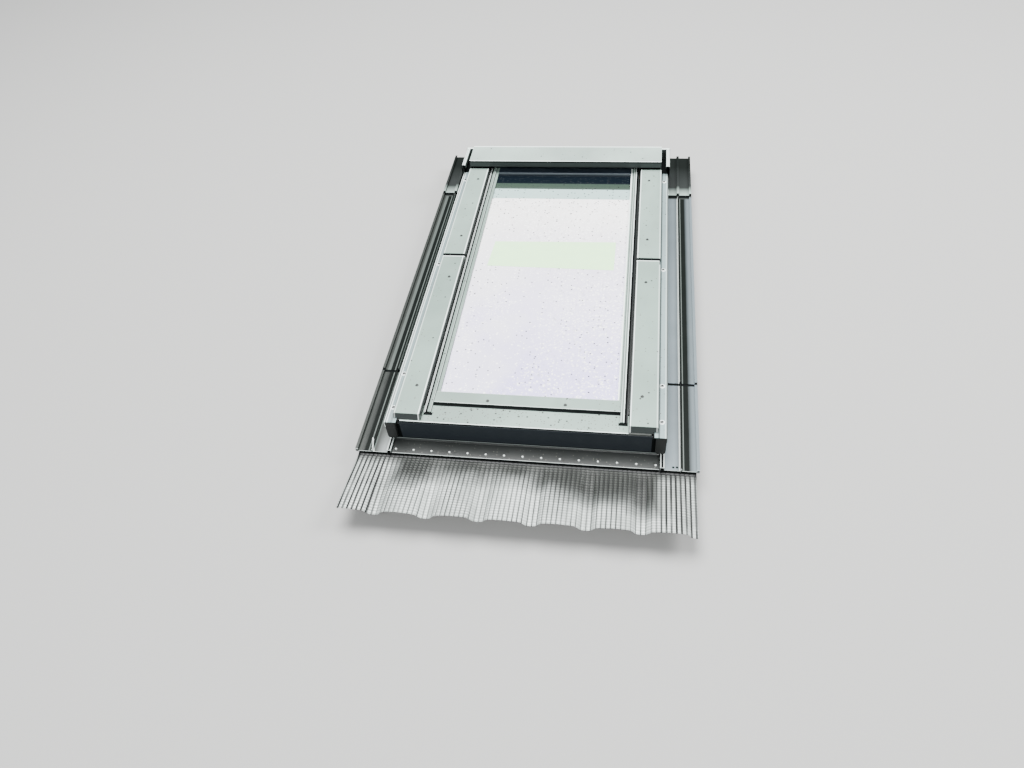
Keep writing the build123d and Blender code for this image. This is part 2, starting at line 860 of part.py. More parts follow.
def gutter_piece(skin, top, level, spread, bend, run, lap_end):
    """Upstand and gutter, hemmed over its run and flat-edged on to the end of its lap."""
    def part(hemmed, length):
        corners = pan_path(level, spread, hemmed)[:-1]
        path = [(skin, top), (skin, level), *pan_path(level, spread, hemmed)]
        return sheet_along_y(path, flashing_sheet, [bend] + [0] * len(corners), length)

    return part(True, run) + part(False, (run[1], lap_end))


def corner_flashing():
    """Lower corner piece: upstand beside the jamb, standing seam in front of it, and gutter."""
    piece = gutter_piece(corner_upstand, upstand_top, pan_level, 0.0, fold_bend,
                         (-half_length, corner_lap - lap_gap), corner_lap + gutter_lap)
    crest = pan_level + seam_height
    ahead = [(seam_inner, pan_level - seam_drop), (seam_inner, crest), (seam_outer, crest),
             (seam_outer, pan_level)] + pan_path(pan_level, 0.0)
    piece += sheet_along_y(ahead, flashing_sheet, [0] * (len(ahead) - 2), (-band_front, -half_length))
    lip = block((seam_outer, flashing_half), (-band_front, -band_front + flashing_sheet),
                (band_level - band_hem, pan_level - flashing_sheet / 2))
    return piece + lip


def side_gutter():
    """Middle gutter beside the jamb, lapped over the corner piece and under the top wing."""
    return gutter_piece(corner_upstand + lap_rise, upstand_top, gutter_level, lap_rise,
                        fold_bend - lap_gap, (corner_lap, top_lap - lap_gap), top_lap + gutter_lap)


def top_wing():
    """Side wing of the top flashing: hemmed wall beside the hood and gutter outside it."""
    rest = pan_path(wing_level, 2 * lap_rise)
    inner = wing_wall - wing_hem_width
    path = [(inner, wing_top - wing_hem_drop), (inner, wing_top), (wing_wall, wing_top),
            (wing_wall, wing_level)] + rest
    bends = [wing_bend, wing_bend, fold_bend] + [0] * (len(rest) - 1)
    roll_end = back_hem_inner - 2 * lap_gap
    wing = sheet_along_y(path, flashing_sheet, bends, (top_lap, roll_end))
    wing += sheet_along_y(path[2:], flashing_sheet, bends[2:], (roll_end, back_wall))
    floor = [(wing_wall - flashing_sheet, wing_level)] + rest
    return wing + sheet_along_y(floor, flashing_sheet, [0] * (len(floor) - 2), (back_wall, back_end))


def top_flashing():
    """Wall and back gutter across the top of the window, with a hem at each edge."""
    inner = back_hem_inner
    path = [(inner, wing_top - wing_hem_drop), (inner, wing_top), (back_wall, wing_top),
            (back_wall, wing_level), (back_end, wing_level), (back_end, wing_level + outer_hem),
            (back_end - outer_hem, wing_level + outer_hem)]
    bends = [wing_bend - 0.5, wing_bend - 0.5, fold_bend, 0, 0]
    half = wing_wall - flashing_sheet - lap_gap
    return sheet_along_x(path, flashing_sheet, bends, (-half, half))


def bottom_flashing():
    """Band below the sill: upstand behind the sill cover, gentle fold, dimpled floor and hem."""
    hem = band_level - band_hem
    path = [(sill_front, sill_top - band_upstand_drop), (sill_front, band_level + band_rise),
            (-band_front, band_level), (-band_front, hem), (-band_front + band_hem_back, hem)]
    band = sheet_along_x(path, -flashing_sheet, [band_bend, 0, 0], (-band_half, band_half))
    for x, y, z in stud_places():
        band -= cylinder_along("z", (x, y), stud_shank + hole_play, (hem - 1, z + 1))
    return band


def stud_places():
    """Centres of the studs on the sloping band."""
    slope = band_rise / (band_front + sill_front)
    level = band_level + (band_front - stud_line) * slope
    first = -(stud_count - 1) / 2 * stud_pitch
    return [(first + index * stud_pitch, -stud_line, level) for index in range(stud_count)]


def clinch_studs():
    """Round studs that clinch the skirt to the band."""
    studs = []
    for x, y, z in stud_places():
        seat = z + stud_seat
        head = Pos(x, y, seat + stud_height / 2) * Cone(stud_radius, stud_crown, stud_height)
        foot = skirt_root_level - skirt_sheet - stud_tail
        shank = cylinder_along("z", (x, y), stud_shank, (foot, seat + stud_height / 2))
        studs.append(head + shank)
    return group(studs)


def tile_drape(x):
    """Rise and fall of the roof tiles under the skirt: broad crests and troughs."""
    wave = math.sin(2 * math.pi * x / tile_wave)
    return tile_wave_height / 2 * math.tanh(tile_flatness * wave) / math.tanh(tile_flatness)


def skirt_section(y, centre, pleat, drape):
    """Zigzag section of the skirt at one distance down the roof."""
    count = 2 * round(skirt_half / pleat_pitch) + 1
    step = 2 * skirt_half / (2 * count)
    top = []
    for index in range(2 * count + 1):
        x = -skirt_half + index * step
        swing = pleat / 2 if index % 2 else -pleat / 2
        top.append((x, centre + swing + drape * tile_drape(x)))
    low = [(x, z - skirt_sheet) for x, z in reversed(top)]
    return Plane.XZ.offset(-y) * make_face(Polyline(*top, *low, close=True))


def apron_skirt():
    """Pleated skirt clinched under the band, spreading down over the tiles."""
    root_level = skirt_root_level
    sections = [
        skirt_section(-skirt_root, root_level, pleat_root_height, 0.0),
        skirt_section(-band_front - skirt_flat, root_level, pleat_root_height, 0.0),
        skirt_section(-skirt_break, root_level - skirt_dip, pleat_height, break_drape),
        skirt_section(-skirt_end, root_level + skirt_rise, pleat_height, 1.0),
    ]
    skirt = loft(sections, ruled=True)
    for x, y, z in stud_places():
        skirt -= cylinder_along("z", (x, y), stud_shank + hole_play, (z - 3 * band_hem, z))
    return skirt


# Sash
def sash_stile(side):
    """Side timber of the sash with the glazing rebate and the hinge pocket."""
    section = [(stile_inner, sash_bottom), (stile_face, sash_bottom), (stile_face, sash_top),
               (rebate_side, sash_top), (rebate_side, ledge_top), (stile_inner, ledge_top)]
    stile = along_y(make_face(Polyline(*section, close=True)), (sash_sill, sash_head))
    stile -= hinge_pocket((sash_plate_face - sash_plate_thickness, stile_face + 1))
    for place, size, direction in stile_screws():
        stile -= shank_space(place, size, direction)
    if side == "right":
        stile -= cylinder_along("x", bolt_points()[0], bolt_radius + bolt_clearance,
                                (stile_inner - 1, stile_face + 1))
        return stile
    return mirrored(stile)


def haunch(y, top):
    """End of a rail's rebate wall, standing on the right stile's ledge."""
    return block((stile_inner - 1, rebate_side), y, (ledge_top, top))


def sash_top_rail():
    """Top timber of the sash, rebated for the glass and haunched over the stiles."""
    section = [(rail_inner_top, sash_bottom), (sash_head, sash_bottom), (sash_head, sash_top),
               (rebate_head, sash_top), (rebate_head, ledge_top), (rail_inner_top, ledge_top)]
    rail = along_x(make_face(Polyline(*section, close=True)), (-stile_inner, stile_inner))
    end = haunch((rebate_head, sash_head), sash_top)
    return rail + end + mirrored(end)


def sash_bottom_rail():
    """Bottom timber of the sash, haunched, and bored and slotted for the handle."""
    top = glass_face
    section = [(rail_inner_bottom, sash_bottom), (sash_sill, sash_bottom), (sash_sill, top),
               (rebate_sill, top), (rebate_sill, ledge_top), (rail_inner_bottom, ledge_top)]
    rail = along_x(make_face(Polyline(*section, close=True)), (-stile_inner, stile_inner))
    end = haunch((sash_sill, rebate_sill), top)
    rail += end + mirrored(end)
    rail -= cylinder_along("z", (0, handle_y), spindle_radius + spindle_clearance,
                           (sash_bottom - 1, tongue_low + 1))
    for place, size, direction in bead_screws():
        rail -= shank_space(place, size, direction)
    reach = tongue_width / 2 + tongue_side_play
    rail -= block((-reach, tongue_reach + tongue_side_play), (sash_sill - 1, handle_y + reach),
                  (tongue_low - tongue_clearance, tongue_low + tongue_thickness + tongue_clearance))
    return rail


def ring(outer_x, outer_y, inset, z):
    """Rectangular ring of one width round the glass."""
    low, high = outer_y
    whole = block((-outer_x, outer_x), (low, high), z)
    inner = block((-outer_x + inset, outer_x - inset), (low + inset, high - inset),
                  (z[0] - 1, z[1] + 1))
    return whole - inner


def outer_pane():
    return block((-pane_half, pane_half), (pane_sill, pane_head), (glass_face - pane_thickness, glass_face))


def inner_pane():
    top = glass_face - pane_thickness - cavity
    return block((-pane_half, pane_half), (pane_sill, pane_head), (top - pane_thickness, top))


def cavity_range():
    """Lowest and highest level between the two panes."""
    top = glass_face - pane_thickness
    return top - cavity, top


def glass_spacer():
    """Hollow bar that holds the panes apart."""
    rim = (pane_sill + seal_width, pane_head - seal_width)
    return ring(pane_half - seal_width, rim, spacer_width, cavity_range())


def edge_seal():
    """Sealant round the outside of the spacer."""
    return ring(pane_half, (pane_sill, pane_head), seal_width, cavity_range())


def glazing_gasket():
    """Soft bed between the rebate ledge and the inner pane."""
    return ring(pane_half, (pane_sill, pane_head), gasket_width, (ledge_top, ledge_top + gasket_thickness))


def setting_blocks():
    """Packers between the glass edge and the rebate walls."""
    z = (ledge_top + gasket_thickness, glass_face - bead_foot_gap)
    blocks = []
    for x in (-block_reach_x, block_reach_x):
        blocks.append(block((x - block_length / 2, x + block_length / 2), (rebate_sill, pane_sill), z))
    for y in (-block_reach_y, block_reach_y):
        packer = block((pane_half, rebate_side), (y - block_length / 2, y + block_length / 2), z)
        blocks += [packer, mirrored(packer)]
    return group(blocks)


def side_bead():
    """Stepped glazing bead along the stile, with a floor and a rim outside its crest.

    Its inner ledge ends at the bottom bead, and its open lower end runs out over the rail cover.
    """
    foot = glass_face + bead_foot_gap
    step = side_bead_inner + side_bead_step
    flange = sash_top + cover_sheet
    rim = side_bead_outer + side_bead_floor
    rim_top = flange + side_bead_rim
    crest = [(step, side_bead_top), (side_bead_outer, side_bead_top)]
    channel = [*crest, (side_bead_outer, flange), (rim, flange), (rim, rim_top)]
    ledge = [(side_bead_inner, foot), (side_bead_inner, side_bead_shoulder), (step, side_bead_shoulder)]
    tail_foot = rail_cover_level + lap_gap
    tail_floor = tail_foot + cover_sheet
    tail = [(step, tail_foot), *crest, (side_bead_outer, tail_floor), (rim, tail_floor), (rim, rim_top)]
    corner = -bead_back + lap_gap
    tail_start = rail_back + lap_gap
    bends = [bead_bend, bead_bend, 0, 0]
    bead = sheet_along_y(ledge + channel, cover_sheet, [0, 0, *bends], (corner, rebate_head - 1))
    bead += sheet_along_y([(step, foot), *channel], cover_sheet, bends, (tail_start, corner))
    return bead + sheet_along_y(tail, cover_sheet, bends, (-side_bead_end, tail_start))


def bottom_bead():
    """Glazing bead above the bottom rail, between the side beads."""
    path = [(-bead_front, rail_cover_level - rail_flange_drop + lap_gap), (-bead_front, bead_top),
            (-bead_back, bead_top - bead_slope), (-bead_back, glass_face + bead_foot_gap)]
    half = side_bead_inner + side_bead_step - lap_gap
    bead = sheet_along_x(path, cover_sheet, [bead_bend, bead_bend], (-half, half))
    for place, size, direction in bead_screws():
        bead -= shank_space(place, size, direction)
    return bead


def top_bead():
    """Glazing bead and cap of the top rail, out of the weather under the hood."""
    level = side_bead_shoulder + cover_sheet
    path = [(top_bead_edge, glass_face + bead_foot_gap), (top_bead_edge, level), (sash_head - 1, level)]
    half = side_bead_inner - lap_gap
    bead = sheet_along_x(path, cover_sheet, [bead_bend], (-half, half))
    rest = (rebate_head + top_rest_start, rebate_head + top_rest_start + top_rest_width)
    return bead + block((-half, half), rest, (sash_top, level - cover_sheet / 2))


def rail_cover():
    """Cover of the bottom rail: flat shelf with a rounded nose and a flange under the bead."""
    shelf = [(rail_nose, rail_cover_level - rail_cover_lip), (rail_nose, rail_cover_level),
             (rail_back, rail_cover_level), (rail_back, rail_cover_level - rail_flange_drop)]
    cover = sheet_along_x(shelf, cover_sheet, [rail_bend, 0], (-rail_cover_half, rail_cover_half))
    half = side_bead_inner + side_bead_step - lap_gap
    cover += block((-half, half), (rail_back - cover_sheet, rebate_sill - 1),
                   (glass_face, rail_cover_level - rail_flange_drop))
    for place, size, direction in bead_screws():
        cover -= shank_space(place, size, direction)
    return cover


# Screws
def frame_screws():
    """Screws of the strips, the upper covers, the hinge plates and the bracket legs."""
    screws = [screw(*item) for item in jamb_screws()]
    for y in cover_screw_rows:
        if y > pivot_rise:
            screws.append(screw((cover_screw_line, y, cover_top), small_screw, 0))
    return group(screws + [mirrored(item) for item in screws])


def sash_screws():
    """Screws of the lower covers, the sash hinge plates and the bottom bead."""
    screws = [screw(*item) for item in stile_screws()]
    for y in cover_screw_rows:
        if y < pivot_rise:
            screws.append(screw((cover_screw_line, y, cover_top), small_screw, 0))
    screws += [mirrored(item) for item in screws]
    return group(screws + [screw(*item) for item in bead_screws()])


# Handle and bolt
def handle_base():
    """Rose on the inside of the bottom rail, round the spindle."""
    plate = block((-base_length / 2, base_length / 2),
                  (handle_y - base_width / 2, handle_y + base_width / 2),
                  (sash_bottom - base_thickness, sash_bottom))
    plate = fillet(plate.edges().filter_by(Axis.Z), base_corner)
    return plate - cylinder_along("z", (0, handle_y), spindle_radius + spindle_clearance,
                                  (sash_bottom - base_thickness - 1, sash_bottom + 1))


def handle():
    """Lever, neck, spindle and locking tongue, turning together."""
    base_face = sash_bottom - base_thickness - lap_gap
    lever_top = sash_bottom - lever_drop
    spindle = cylinder_along("z", (0, handle_y), spindle_radius, (base_face - 1, tongue_low))
    neck = cylinder_along("z", (0, handle_y), spindle_radius + neck_extra,
                          (lever_top - neck_extra, base_face))
    tongue = block((-tongue_width / 2, tongue_reach),
                   (handle_y - tongue_width / 2, handle_y + tongue_width / 2),
                   (tongue_low, tongue_low + tongue_thickness))
    tongue = fillet(tongue.edges().filter_by(Axis.Z), tongue_corner)
    outline = Pos(0, handle_y + lever_length / 2 - lever_width / 2) * SlotOverall(
        lever_length, lever_width, rotation=90)
    lever = extrude(Plane.XY.offset(lever_top - lever_thickness) * outline, amount=lever_thickness)
    lever = fillet(lever.faces().sort_by(Axis.Z)[0].edges(), lever_round)
    return spindle + neck + tongue + lever


def bolt_guide():
    """Plate on the stile's inner face that guides the bolt."""
    y, z = bolt_points()[0]
    plate = block((stile_inner - guide_thickness, stile_inner), (y - guide_half_width, y + guide_half_width),
                  (z - guide_half_height, z + guide_half_height))
    return plate - cylinder_along("x", (y, z), bolt_radius + bolt_clearance,
                                  (stile_inner - guide_thickness - 1, stile_inner + 1))


def bolt():
    """Round bolt and its knob, drawn back at rest."""
    point = bolt_points()[0]
    knob_end = stile_inner - guide_thickness - bolt_travel - knob_stand
    pin = cylinder_along("x", point, bolt_radius, (knob_end - 1, stile_face - 1))
    knob = cylinder_along("x", point, bolt_knob_radius, (knob_end - bolt_knob_length, knob_end))
    return pin + chamfer(knob.edges().filter_by(GeomType.CIRCLE), knob_chamfer)


def pair(name, solid):
    """Left and right node of a piece that is drawn on the right."""
    return {name + "_left": mirrored(solid), name + "_right": solid}


def all_nodes():
    """Every node of the window, by name."""
    lower_rows = [y for y in cover_screw_rows if y < pivot_rise]
    upper_rows = [y for y in cover_screw_rows if y > pivot_rise]
    upper_clip = (jamb_face + 2, jamb_face + 2 + clip_width)
    lower_clip = (cover_in + clip_inset, stile_face)
    nodes = {
        "frame_head": frame_head(),
        "frame_sill": frame_sill(),
        "frame_jamb_left": frame_jamb("left"),
        "frame_jamb_right": frame_jamb("right"),
        "latch_keeper": latch_keeper(),
        "bolt_bushes": bolt_bushes(),
        "mounting_brackets": mounting_brackets(),
        "frame_seal": frame_seal(),
        "sill_cover": sill_cover(),
        "upper_cover_clips": cover_clips(upper_rows, upper_clip, frame_top, frame_top),
        "hood": hood(),
        "bottom_flashing": bottom_flashing(),
        "clinch_studs": clinch_studs(),
        "apron_skirt": apron_skirt(),
        "top_flashing": top_flashing(),
        "frame_screws": frame_screws(),
        "sash_stile_left": sash_stile("left"),
        "sash_stile_right": sash_stile("right"),
        "sash_top_rail": sash_top_rail(),
        "sash_bottom_rail": sash_bottom_rail(),
        "outer_pane": outer_pane(),
        "inner_pane": inner_pane(),
        "glass_spacer": glass_spacer(),
        "edge_seal": edge_seal(),
        "glazing_gasket": glazing_gasket(),
        "setting_blocks": setting_blocks(),
        "bottom_bead": bottom_bead(),
        "top_bead": top_bead(),
        "rail_cover": rail_cover(),
        "lower_cover_clips": cover_clips(lower_rows, lower_clip, sash_top, frame_top + clip_inset),
        "sash_screws": sash_screws(),
        "handle_base": handle_base(),
        "handle": handle(),
        "bolt_guide": bolt_guide(),
        "bolt": bolt(),
    }
    nodes |= pair("hinge_frame_plate", hinge_frame_plate())
    nodes |= pair("hinge_sash_plate", hinge_sash_plate())
    nodes |= pair("side_strip", side_strip())
    nodes |= pair("end_cap", end_cap())
    nodes |= pair("upper_cover", upper_cover())
    nodes |= pair("lower_cover", lower_cover())
    nodes |= pair("corner_flashing", corner_flashing())
    nodes |= pair("side_gutter", side_gutter())
    nodes |= pair("top_wing", top_wing())
    nodes |= pair("side_bead", side_bead())
    return nodes


os.makedirs("parts", exist_ok=True)
for node_name, node_shape in all_nodes().items():
    export_step(node_shape, f"parts/{node_name}.step")
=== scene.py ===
"""Looks of the roof window: materials, the finely pleated skirt, glass, floor, light and camera."""

import math

import bpy
from mathutils import Euler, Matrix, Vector, noise


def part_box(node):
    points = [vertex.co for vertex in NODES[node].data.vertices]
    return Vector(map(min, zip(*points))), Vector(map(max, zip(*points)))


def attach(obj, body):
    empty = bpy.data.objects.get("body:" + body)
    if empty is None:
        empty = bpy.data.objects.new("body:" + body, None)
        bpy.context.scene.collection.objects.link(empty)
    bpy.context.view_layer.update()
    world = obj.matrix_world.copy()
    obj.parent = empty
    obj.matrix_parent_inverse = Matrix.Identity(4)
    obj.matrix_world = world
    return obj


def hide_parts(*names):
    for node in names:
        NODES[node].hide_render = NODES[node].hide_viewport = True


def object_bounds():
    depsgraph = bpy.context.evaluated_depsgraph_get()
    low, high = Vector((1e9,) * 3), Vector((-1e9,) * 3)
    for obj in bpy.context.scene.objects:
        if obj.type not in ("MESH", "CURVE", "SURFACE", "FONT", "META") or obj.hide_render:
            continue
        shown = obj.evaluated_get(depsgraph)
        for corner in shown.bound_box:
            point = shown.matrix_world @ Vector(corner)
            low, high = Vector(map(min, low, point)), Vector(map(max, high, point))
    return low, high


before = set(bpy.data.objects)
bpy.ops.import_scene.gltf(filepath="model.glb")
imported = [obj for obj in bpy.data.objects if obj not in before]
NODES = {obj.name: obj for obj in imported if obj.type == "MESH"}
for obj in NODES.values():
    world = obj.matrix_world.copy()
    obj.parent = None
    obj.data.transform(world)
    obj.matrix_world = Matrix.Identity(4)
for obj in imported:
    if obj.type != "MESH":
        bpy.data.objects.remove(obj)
cad_low, cad_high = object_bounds()

MM = 0.001

# Camera, where the photograph was taken
CAMERA_PLACE = (0.1998, -1.4356, 1.2401)
CAMERA_TURN_DEG = (42.78, 4.376, 7.857)
FOCAL_PIXELS = 769.0
FRAME_PIXELS = 1024.0
SENSOR_MM = 36.0

# Floor and light
FLOOR_GAP = 0.0015
FLOOR_SIZE = 30.0
FLOOR_COLOR = (0.320, 0.320, 0.312)
SKY_COLOR = (0.93, 0.96, 1.0)
SKY_STRENGTH = 0.70
BACK_PLACE = (-0.5, 0.9, 4.4)
BACK_SIZE = 3.6
BACK_POWER = 725.0
SIDE_PLACE = (3.2, 0.6, 3.0)
SIDE_SIZE = 1.8
SIDE_POWER = 250.0
FRONT_PLACE = (0.4, -3.4, 3.2)
FRONT_SIZE = 1.6
FRONT_POWER = 162.0

# Colours of the lacquer where it faces the sky, and the painted shade of its sides and of what faces down
# the slope
LIGHT_GREY = (0.184, 0.250, 0.218)
UPPER_GREY = (0.210, 0.280, 0.246)
STRIP_GREY = (0.180, 0.240, 0.240)
HOOD_GREY = (0.276, 0.344, 0.312)
# Blue-grey of the gutter floors, a painted reflection of the sky
BLUE_GREY = (0.120, 0.148, 0.160)
SIDE_GREY = (0.068, 0.086, 0.078)
FRONT_GREY = (0.028, 0.035, 0.034)
# Charcoal of the sill cover, painted shade of its face down the slope
CHARCOAL = (0.0165, 0.0210, 0.0255)
# Dark grey of the bottom flashing, painted shade of its slope towards the front
BAND_GREY = (0.0225, 0.0245, 0.0235)

# Colours of painted highlights along edges, folds and hems, of painted shade in joints, gaps and under
# parts, and of dirt and dust
EDGE_LIGHT = (0.80, 0.88, 0.85)
HEM_BRIGHT = (0.400, 0.440, 0.424)
FOLD_LIGHT = (0.20, 0.23, 0.22)
SILVER = (0.20, 0.22, 0.215)
WELT_GREY = (0.080, 0.096, 0.088)
SHADE_GREY = (0.075, 0.090, 0.083)
SHADE_BLUE = (0.0175, 0.0255, 0.0350)
BEAD_BLUE = (0.085, 0.105, 0.115)
NOSE_GREY = (0.030, 0.037, 0.035)
PAINTED_SHADE_GREY = (0.026, 0.030, 0.027)
BAND_SHADE = (0.0205, 0.0235, 0.0225)
WALL_SHADE_GREY = (0.016, 0.019, 0.018)
WING_SHADE = (0.014, 0.017, 0.016)
DARK_FLOOR = (0.0048, 0.0064, 0.0056)
# Black of the painted shade in gaps, grooves, dimples and under parts
PAINTED_SHADE_BLACK = (0.004, 0.005, 0.005)
DIRT = (0.015, 0.015, 0.013)
DUST = (0.09, 0.09, 0.08)

# Colours of glass, film, timber and small fittings
# The glass's pale tints are a painted reflection of the sky
GLASS_WARM = ((0.76, 0.74, 0.735), (0.86, 0.84, 0.83))
GLASS_LILAC = ((0.52, 0.485, 0.78), (0.60, 0.565, 0.84))
GLASS_HAZE = (0.82, 0.82, 0.80)
WHITE = (1.0, 1.0, 1.0)
GRIME = (0.34, 0.34, 0.34)
GRIT = (0.06, 0.062, 0.06)
DROP_GREY = (0.022, 0.027, 0.029)
SPECK_GREY = (0.045, 0.042, 0.045)
SPECK_BLACK = (0.012, 0.012, 0.012)
# Bands of painted reflection of the hood near the top of the glass
PALE_BAND = (0.32, 0.45, 0.43)
OLIVE_BAND = (0.030, 0.047, 0.036)
NAVY_BAND = (0.0036, 0.006, 0.009)
FILM_GREEN = (0.55, 0.90, 0.47)
PINE_DARK = (0.40, 0.22, 0.090)
PINE_PALE = (0.56, 0.35, 0.165)
PINE_GRAIN = (0.27, 0.135, 0.052)
RECESS_BLACK = (0.012, 0.013, 0.012)
SCREW_GREY = (0.10, 0.11, 0.105)
SCREW_BRIGHT = (0.72, 0.76, 0.75)
STUD_GREY = (0.09, 0.10, 0.095)
STUD_BRIGHT = (0.60, 0.64, 0.62)
STEEL_GREY = (0.50, 0.51, 0.52)
HANDLE_GREY = (0.62, 0.63, 0.64)
RUBBER_BLACK = (0.02, 0.02, 0.021)
PLASTIC_BLACK = (0.0042, 0.0052, 0.0049)
CLEAR_GLASS = (0.85, 0.90, 0.90)

# Colours of the skirt: painted shade in its part under the band, painted sky reflection where it lies open
# below it, painted highlights on its ripples and black painted shade in its creases
SKIRT_SHADED = ((0.0095, 0.011, 0.0095), (0.017, 0.019, 0.017))
SKIRT_OPEN = ((0.235, 0.258, 0.245), (0.35, 0.38, 0.362))
RIPPLE_SHADED = (0.060, 0.066, 0.060)
RIPPLE_OPEN = (0.66, 0.70, 0.68)
CREASE_BLACK = (0.0070, 0.0080, 0.0077)

# Noise in the finishes: its scale, its detail and its stretch along the axes, the two levels between
# which a value grows, and that value's ends where they aren't 0 and 1
EVEN = (1.0, 1.0, 1.0)
LACQUER_CLOUD = (5.0, 3.0, EVEN, 0.35, 0.65)
LACQUER_SMEAR = (26.0, 4.0, (1.0, 0.18, 1.0), 0.56, 0.72, 0.0, 0.25)
LACQUER_SHEEN = (22.0, 3.0, EVEN, 0.3, 0.7, 0.28, 0.40)
PLAIN_CLOUD = (40.0, 3.0, EVEN, 0.3, 0.7, 0.0, 0.12)
GLASS_CLOUD = (3.2, 2.0, EVEN, 0.35, 0.65)
RAIN_MARKS = (190.0, 5.0, EVEN, 0.56, 0.64, 0.0, 0.9)
RAIN_PATCHES = (7.0, 3.0, EVEN, 0.40, 0.62)
GRIME_MARKS = (120.0, 4.0, (1.0, 0.5, 1.0), 0.60, 0.70, 0.0, 0.45)
SKIRT_CLOUD = (16.0, 3.0, (1.0, 0.35, 1.0), 0.35, 0.65)
SHADE_RAGGED = (22.0, 2.0, EVEN, 0.3, 0.7, -0.008, 0.008)
RIPPLE_WORN = (26.0, 2.0, EVEN, 0.35, 0.65, 0.15, 0.65)
FOLD_BROKEN = (55.0, 2.0, (1.0, 0.10, 1.0), 0.40, 0.55, 0.1, 0.9)
EDGE_STREAKS = (90.0, 2.0, (1.0, 0.04, 1.0), 0.40, 0.52, 0.70, 1.0)
CREASE_BROKEN = (34.0, 2.0, (1.0, 0.1, 1.0), 0.35, 0.60, 0.62, 1.0)

# Noise by its scale and detail alone
LACQUER_WAVES = (9.0, 2.0)
HAZE_NOISE = (5.0, 3.0)
PINE_RINGS = (60.0, 5.0)
PINE_FIBRES = (300.0, 3.0)

# Grain: its stretch along the timber, and the levels of its rings and fibres
GRAIN_STRETCH = 0.06
RING_LEVELS = (0.40, 0.60)
FIBRE_LEVELS = (0.5, 0.66, 0.0, 0.5)

# Specks: the scale and size of those on lacquer, and of those on the glass also their share
DIRT_SPECKS = (62.0, 0.14)
DUST_SPECKS = (150.0, 0.20)
PALE_SPECKS = (75.0, 0.20, 0.26)
FINE_SPECKS = (140.0, 0.22, 0.20)
GREY_SPECKS = (85.0, 0.17, 0.14)
GRIT_SPECKS = (110.0, 0.24, 0.22)
BLACK_SPECKS = (34.0, 0.075, 0.26)
DROP_SPECKS = (150.0, 0.24, 0.22)
SPECK_CORE = 0.6
SPECK_STEP = 0.01

# Soft ends of spots and thin lines, as shares of their radius or half width, and the blur of
# straight ends in metres
SPOT_CORE = 0.7
LINE_ENDS = (1.2, 0.8)
SHARP = 0.0003

# How far a surface faces the sky, down the slope or the window's middle, where painted shade or a painted
# highlight starts
FACES_SKY = (0.55, 0.85)
FACES_DOWN = (-0.45, -0.72)
FACES_MIDDLE = (-0.05, -0.12)
BEND_START = (0.72, 0.86)
BEND_END = (0.998, 0.96)
RECESS_FACES = (0.80, 0.95)
CROWN_FACES = (0.85, 0.97)
SKY_FACES_SHADED = (0.90, 0.98)

# Swing of a colour in its clouds and smears, share of painted highlight on bends, and the lacquer's shine,
# which grows with its lightness between two levels
CLOUD_PALE = 1.16
CLOUD_DARK = 0.88
SMEAR_DARK = 0.70
PLAIN_DARK = 0.7
BEND_HIGHLIGHT = 0.9
SHINE_BY_LIGHTNESS = (0.005, 0.014, 0.02, 0.22)

# Strength and height of the small rises of a finish
LACQUER_BUMP = (0.20, 0.002)
PINE_BUMP = (0.15, 0.0004)
RIPPLE_BUMP = (0.20, 0.0010)

# Skirt: fine pleats down the slope, crossed by small ripples and laid in broad waves.
# The profile gives each pleat's height by its share of the pitch, and the fall gives the
# level of the skirt by the distance from the window's middle, both in millimetres.
PLEAT_PITCH = 9.1 * MM
PLEAT_SWING = 2.0 * MM
PLEAT_PROFILE = ((0.0, -1.0), (0.13, 0.5), (0.30, 0.9), (0.5, 1.0), (0.70, 0.9), (0.87, 0.5))
END_RISE = 0.5
RIPPLE_PITCH = 6.4 * MM
SKIRT_ROWS = 92
SKIRT_SHEET = 0.6 * MM
SKIRT_FALL = ((506.0, 11.9), (517.0, 11.8), (525.0, 9.2), (533.0, 8.4), (545.0, 8.6), (560.0, 9.8),
              (600.0, 13.6), (676.0, 21.6))
SKIRT_FREE = 0.533
WAVE_PITCH = 101.2 * MM
WAVE_HEIGHT = 15.0 * MM
WAVE_VALLEY = 35.0 * MM
WAVE_PROFILE = ((0.0, -1.0), (0.06, -0.9), (0.22, 0.65), (0.30, 0.85), (0.5, 1.0))
FOLD_SHIFT = 24.0 * MM
DENT_HEIGHT = 2.6 * MM
DENT_GROWTH = 3
DENT_FIELD = (13, 11, 2.0)
PLEAT_ROOT = 0.25
PLEAT_GROWTH = 0.02

# Painted shade of the skirt: how steeply it ends and, in metres, where it ends down the slope, how far
# that end shifts between two places across, its sides bright with painted sky reflection with their share,
# and where its streaked edges and its folds of painted shade start
SHADE_POWER = 2.3
SHADE_ENDS = (-0.535, -0.602)
SHADE_SHIFTS = ((0.02, 0.13, 0.036), (0.20, 0.245, 0.014), (-0.175, -0.20, 0.018))
BRIGHT_LEFT = (-0.238, -0.268)
BRIGHT_RIGHT = (0.258, 0.280)
BRIGHT_DOWN = (-0.532, -0.556, 0.0, 0.8)
STREAKED_EDGE = (0.258, 0.280)
FOLD_DOWN = (-0.540, -0.590)

# Waves across and down the skirt, from -1 to 1, where a painted highlight on a crest or the painted shade
# in a crease starts and is full
RIPPLE_CREST = (0.0, 0.9)
CREASE_NARROW = (0.55, 0.95)
CREASE_WIDE = (-0.10, 0.50)
FOLD_CREST = (0.35, 0.85)

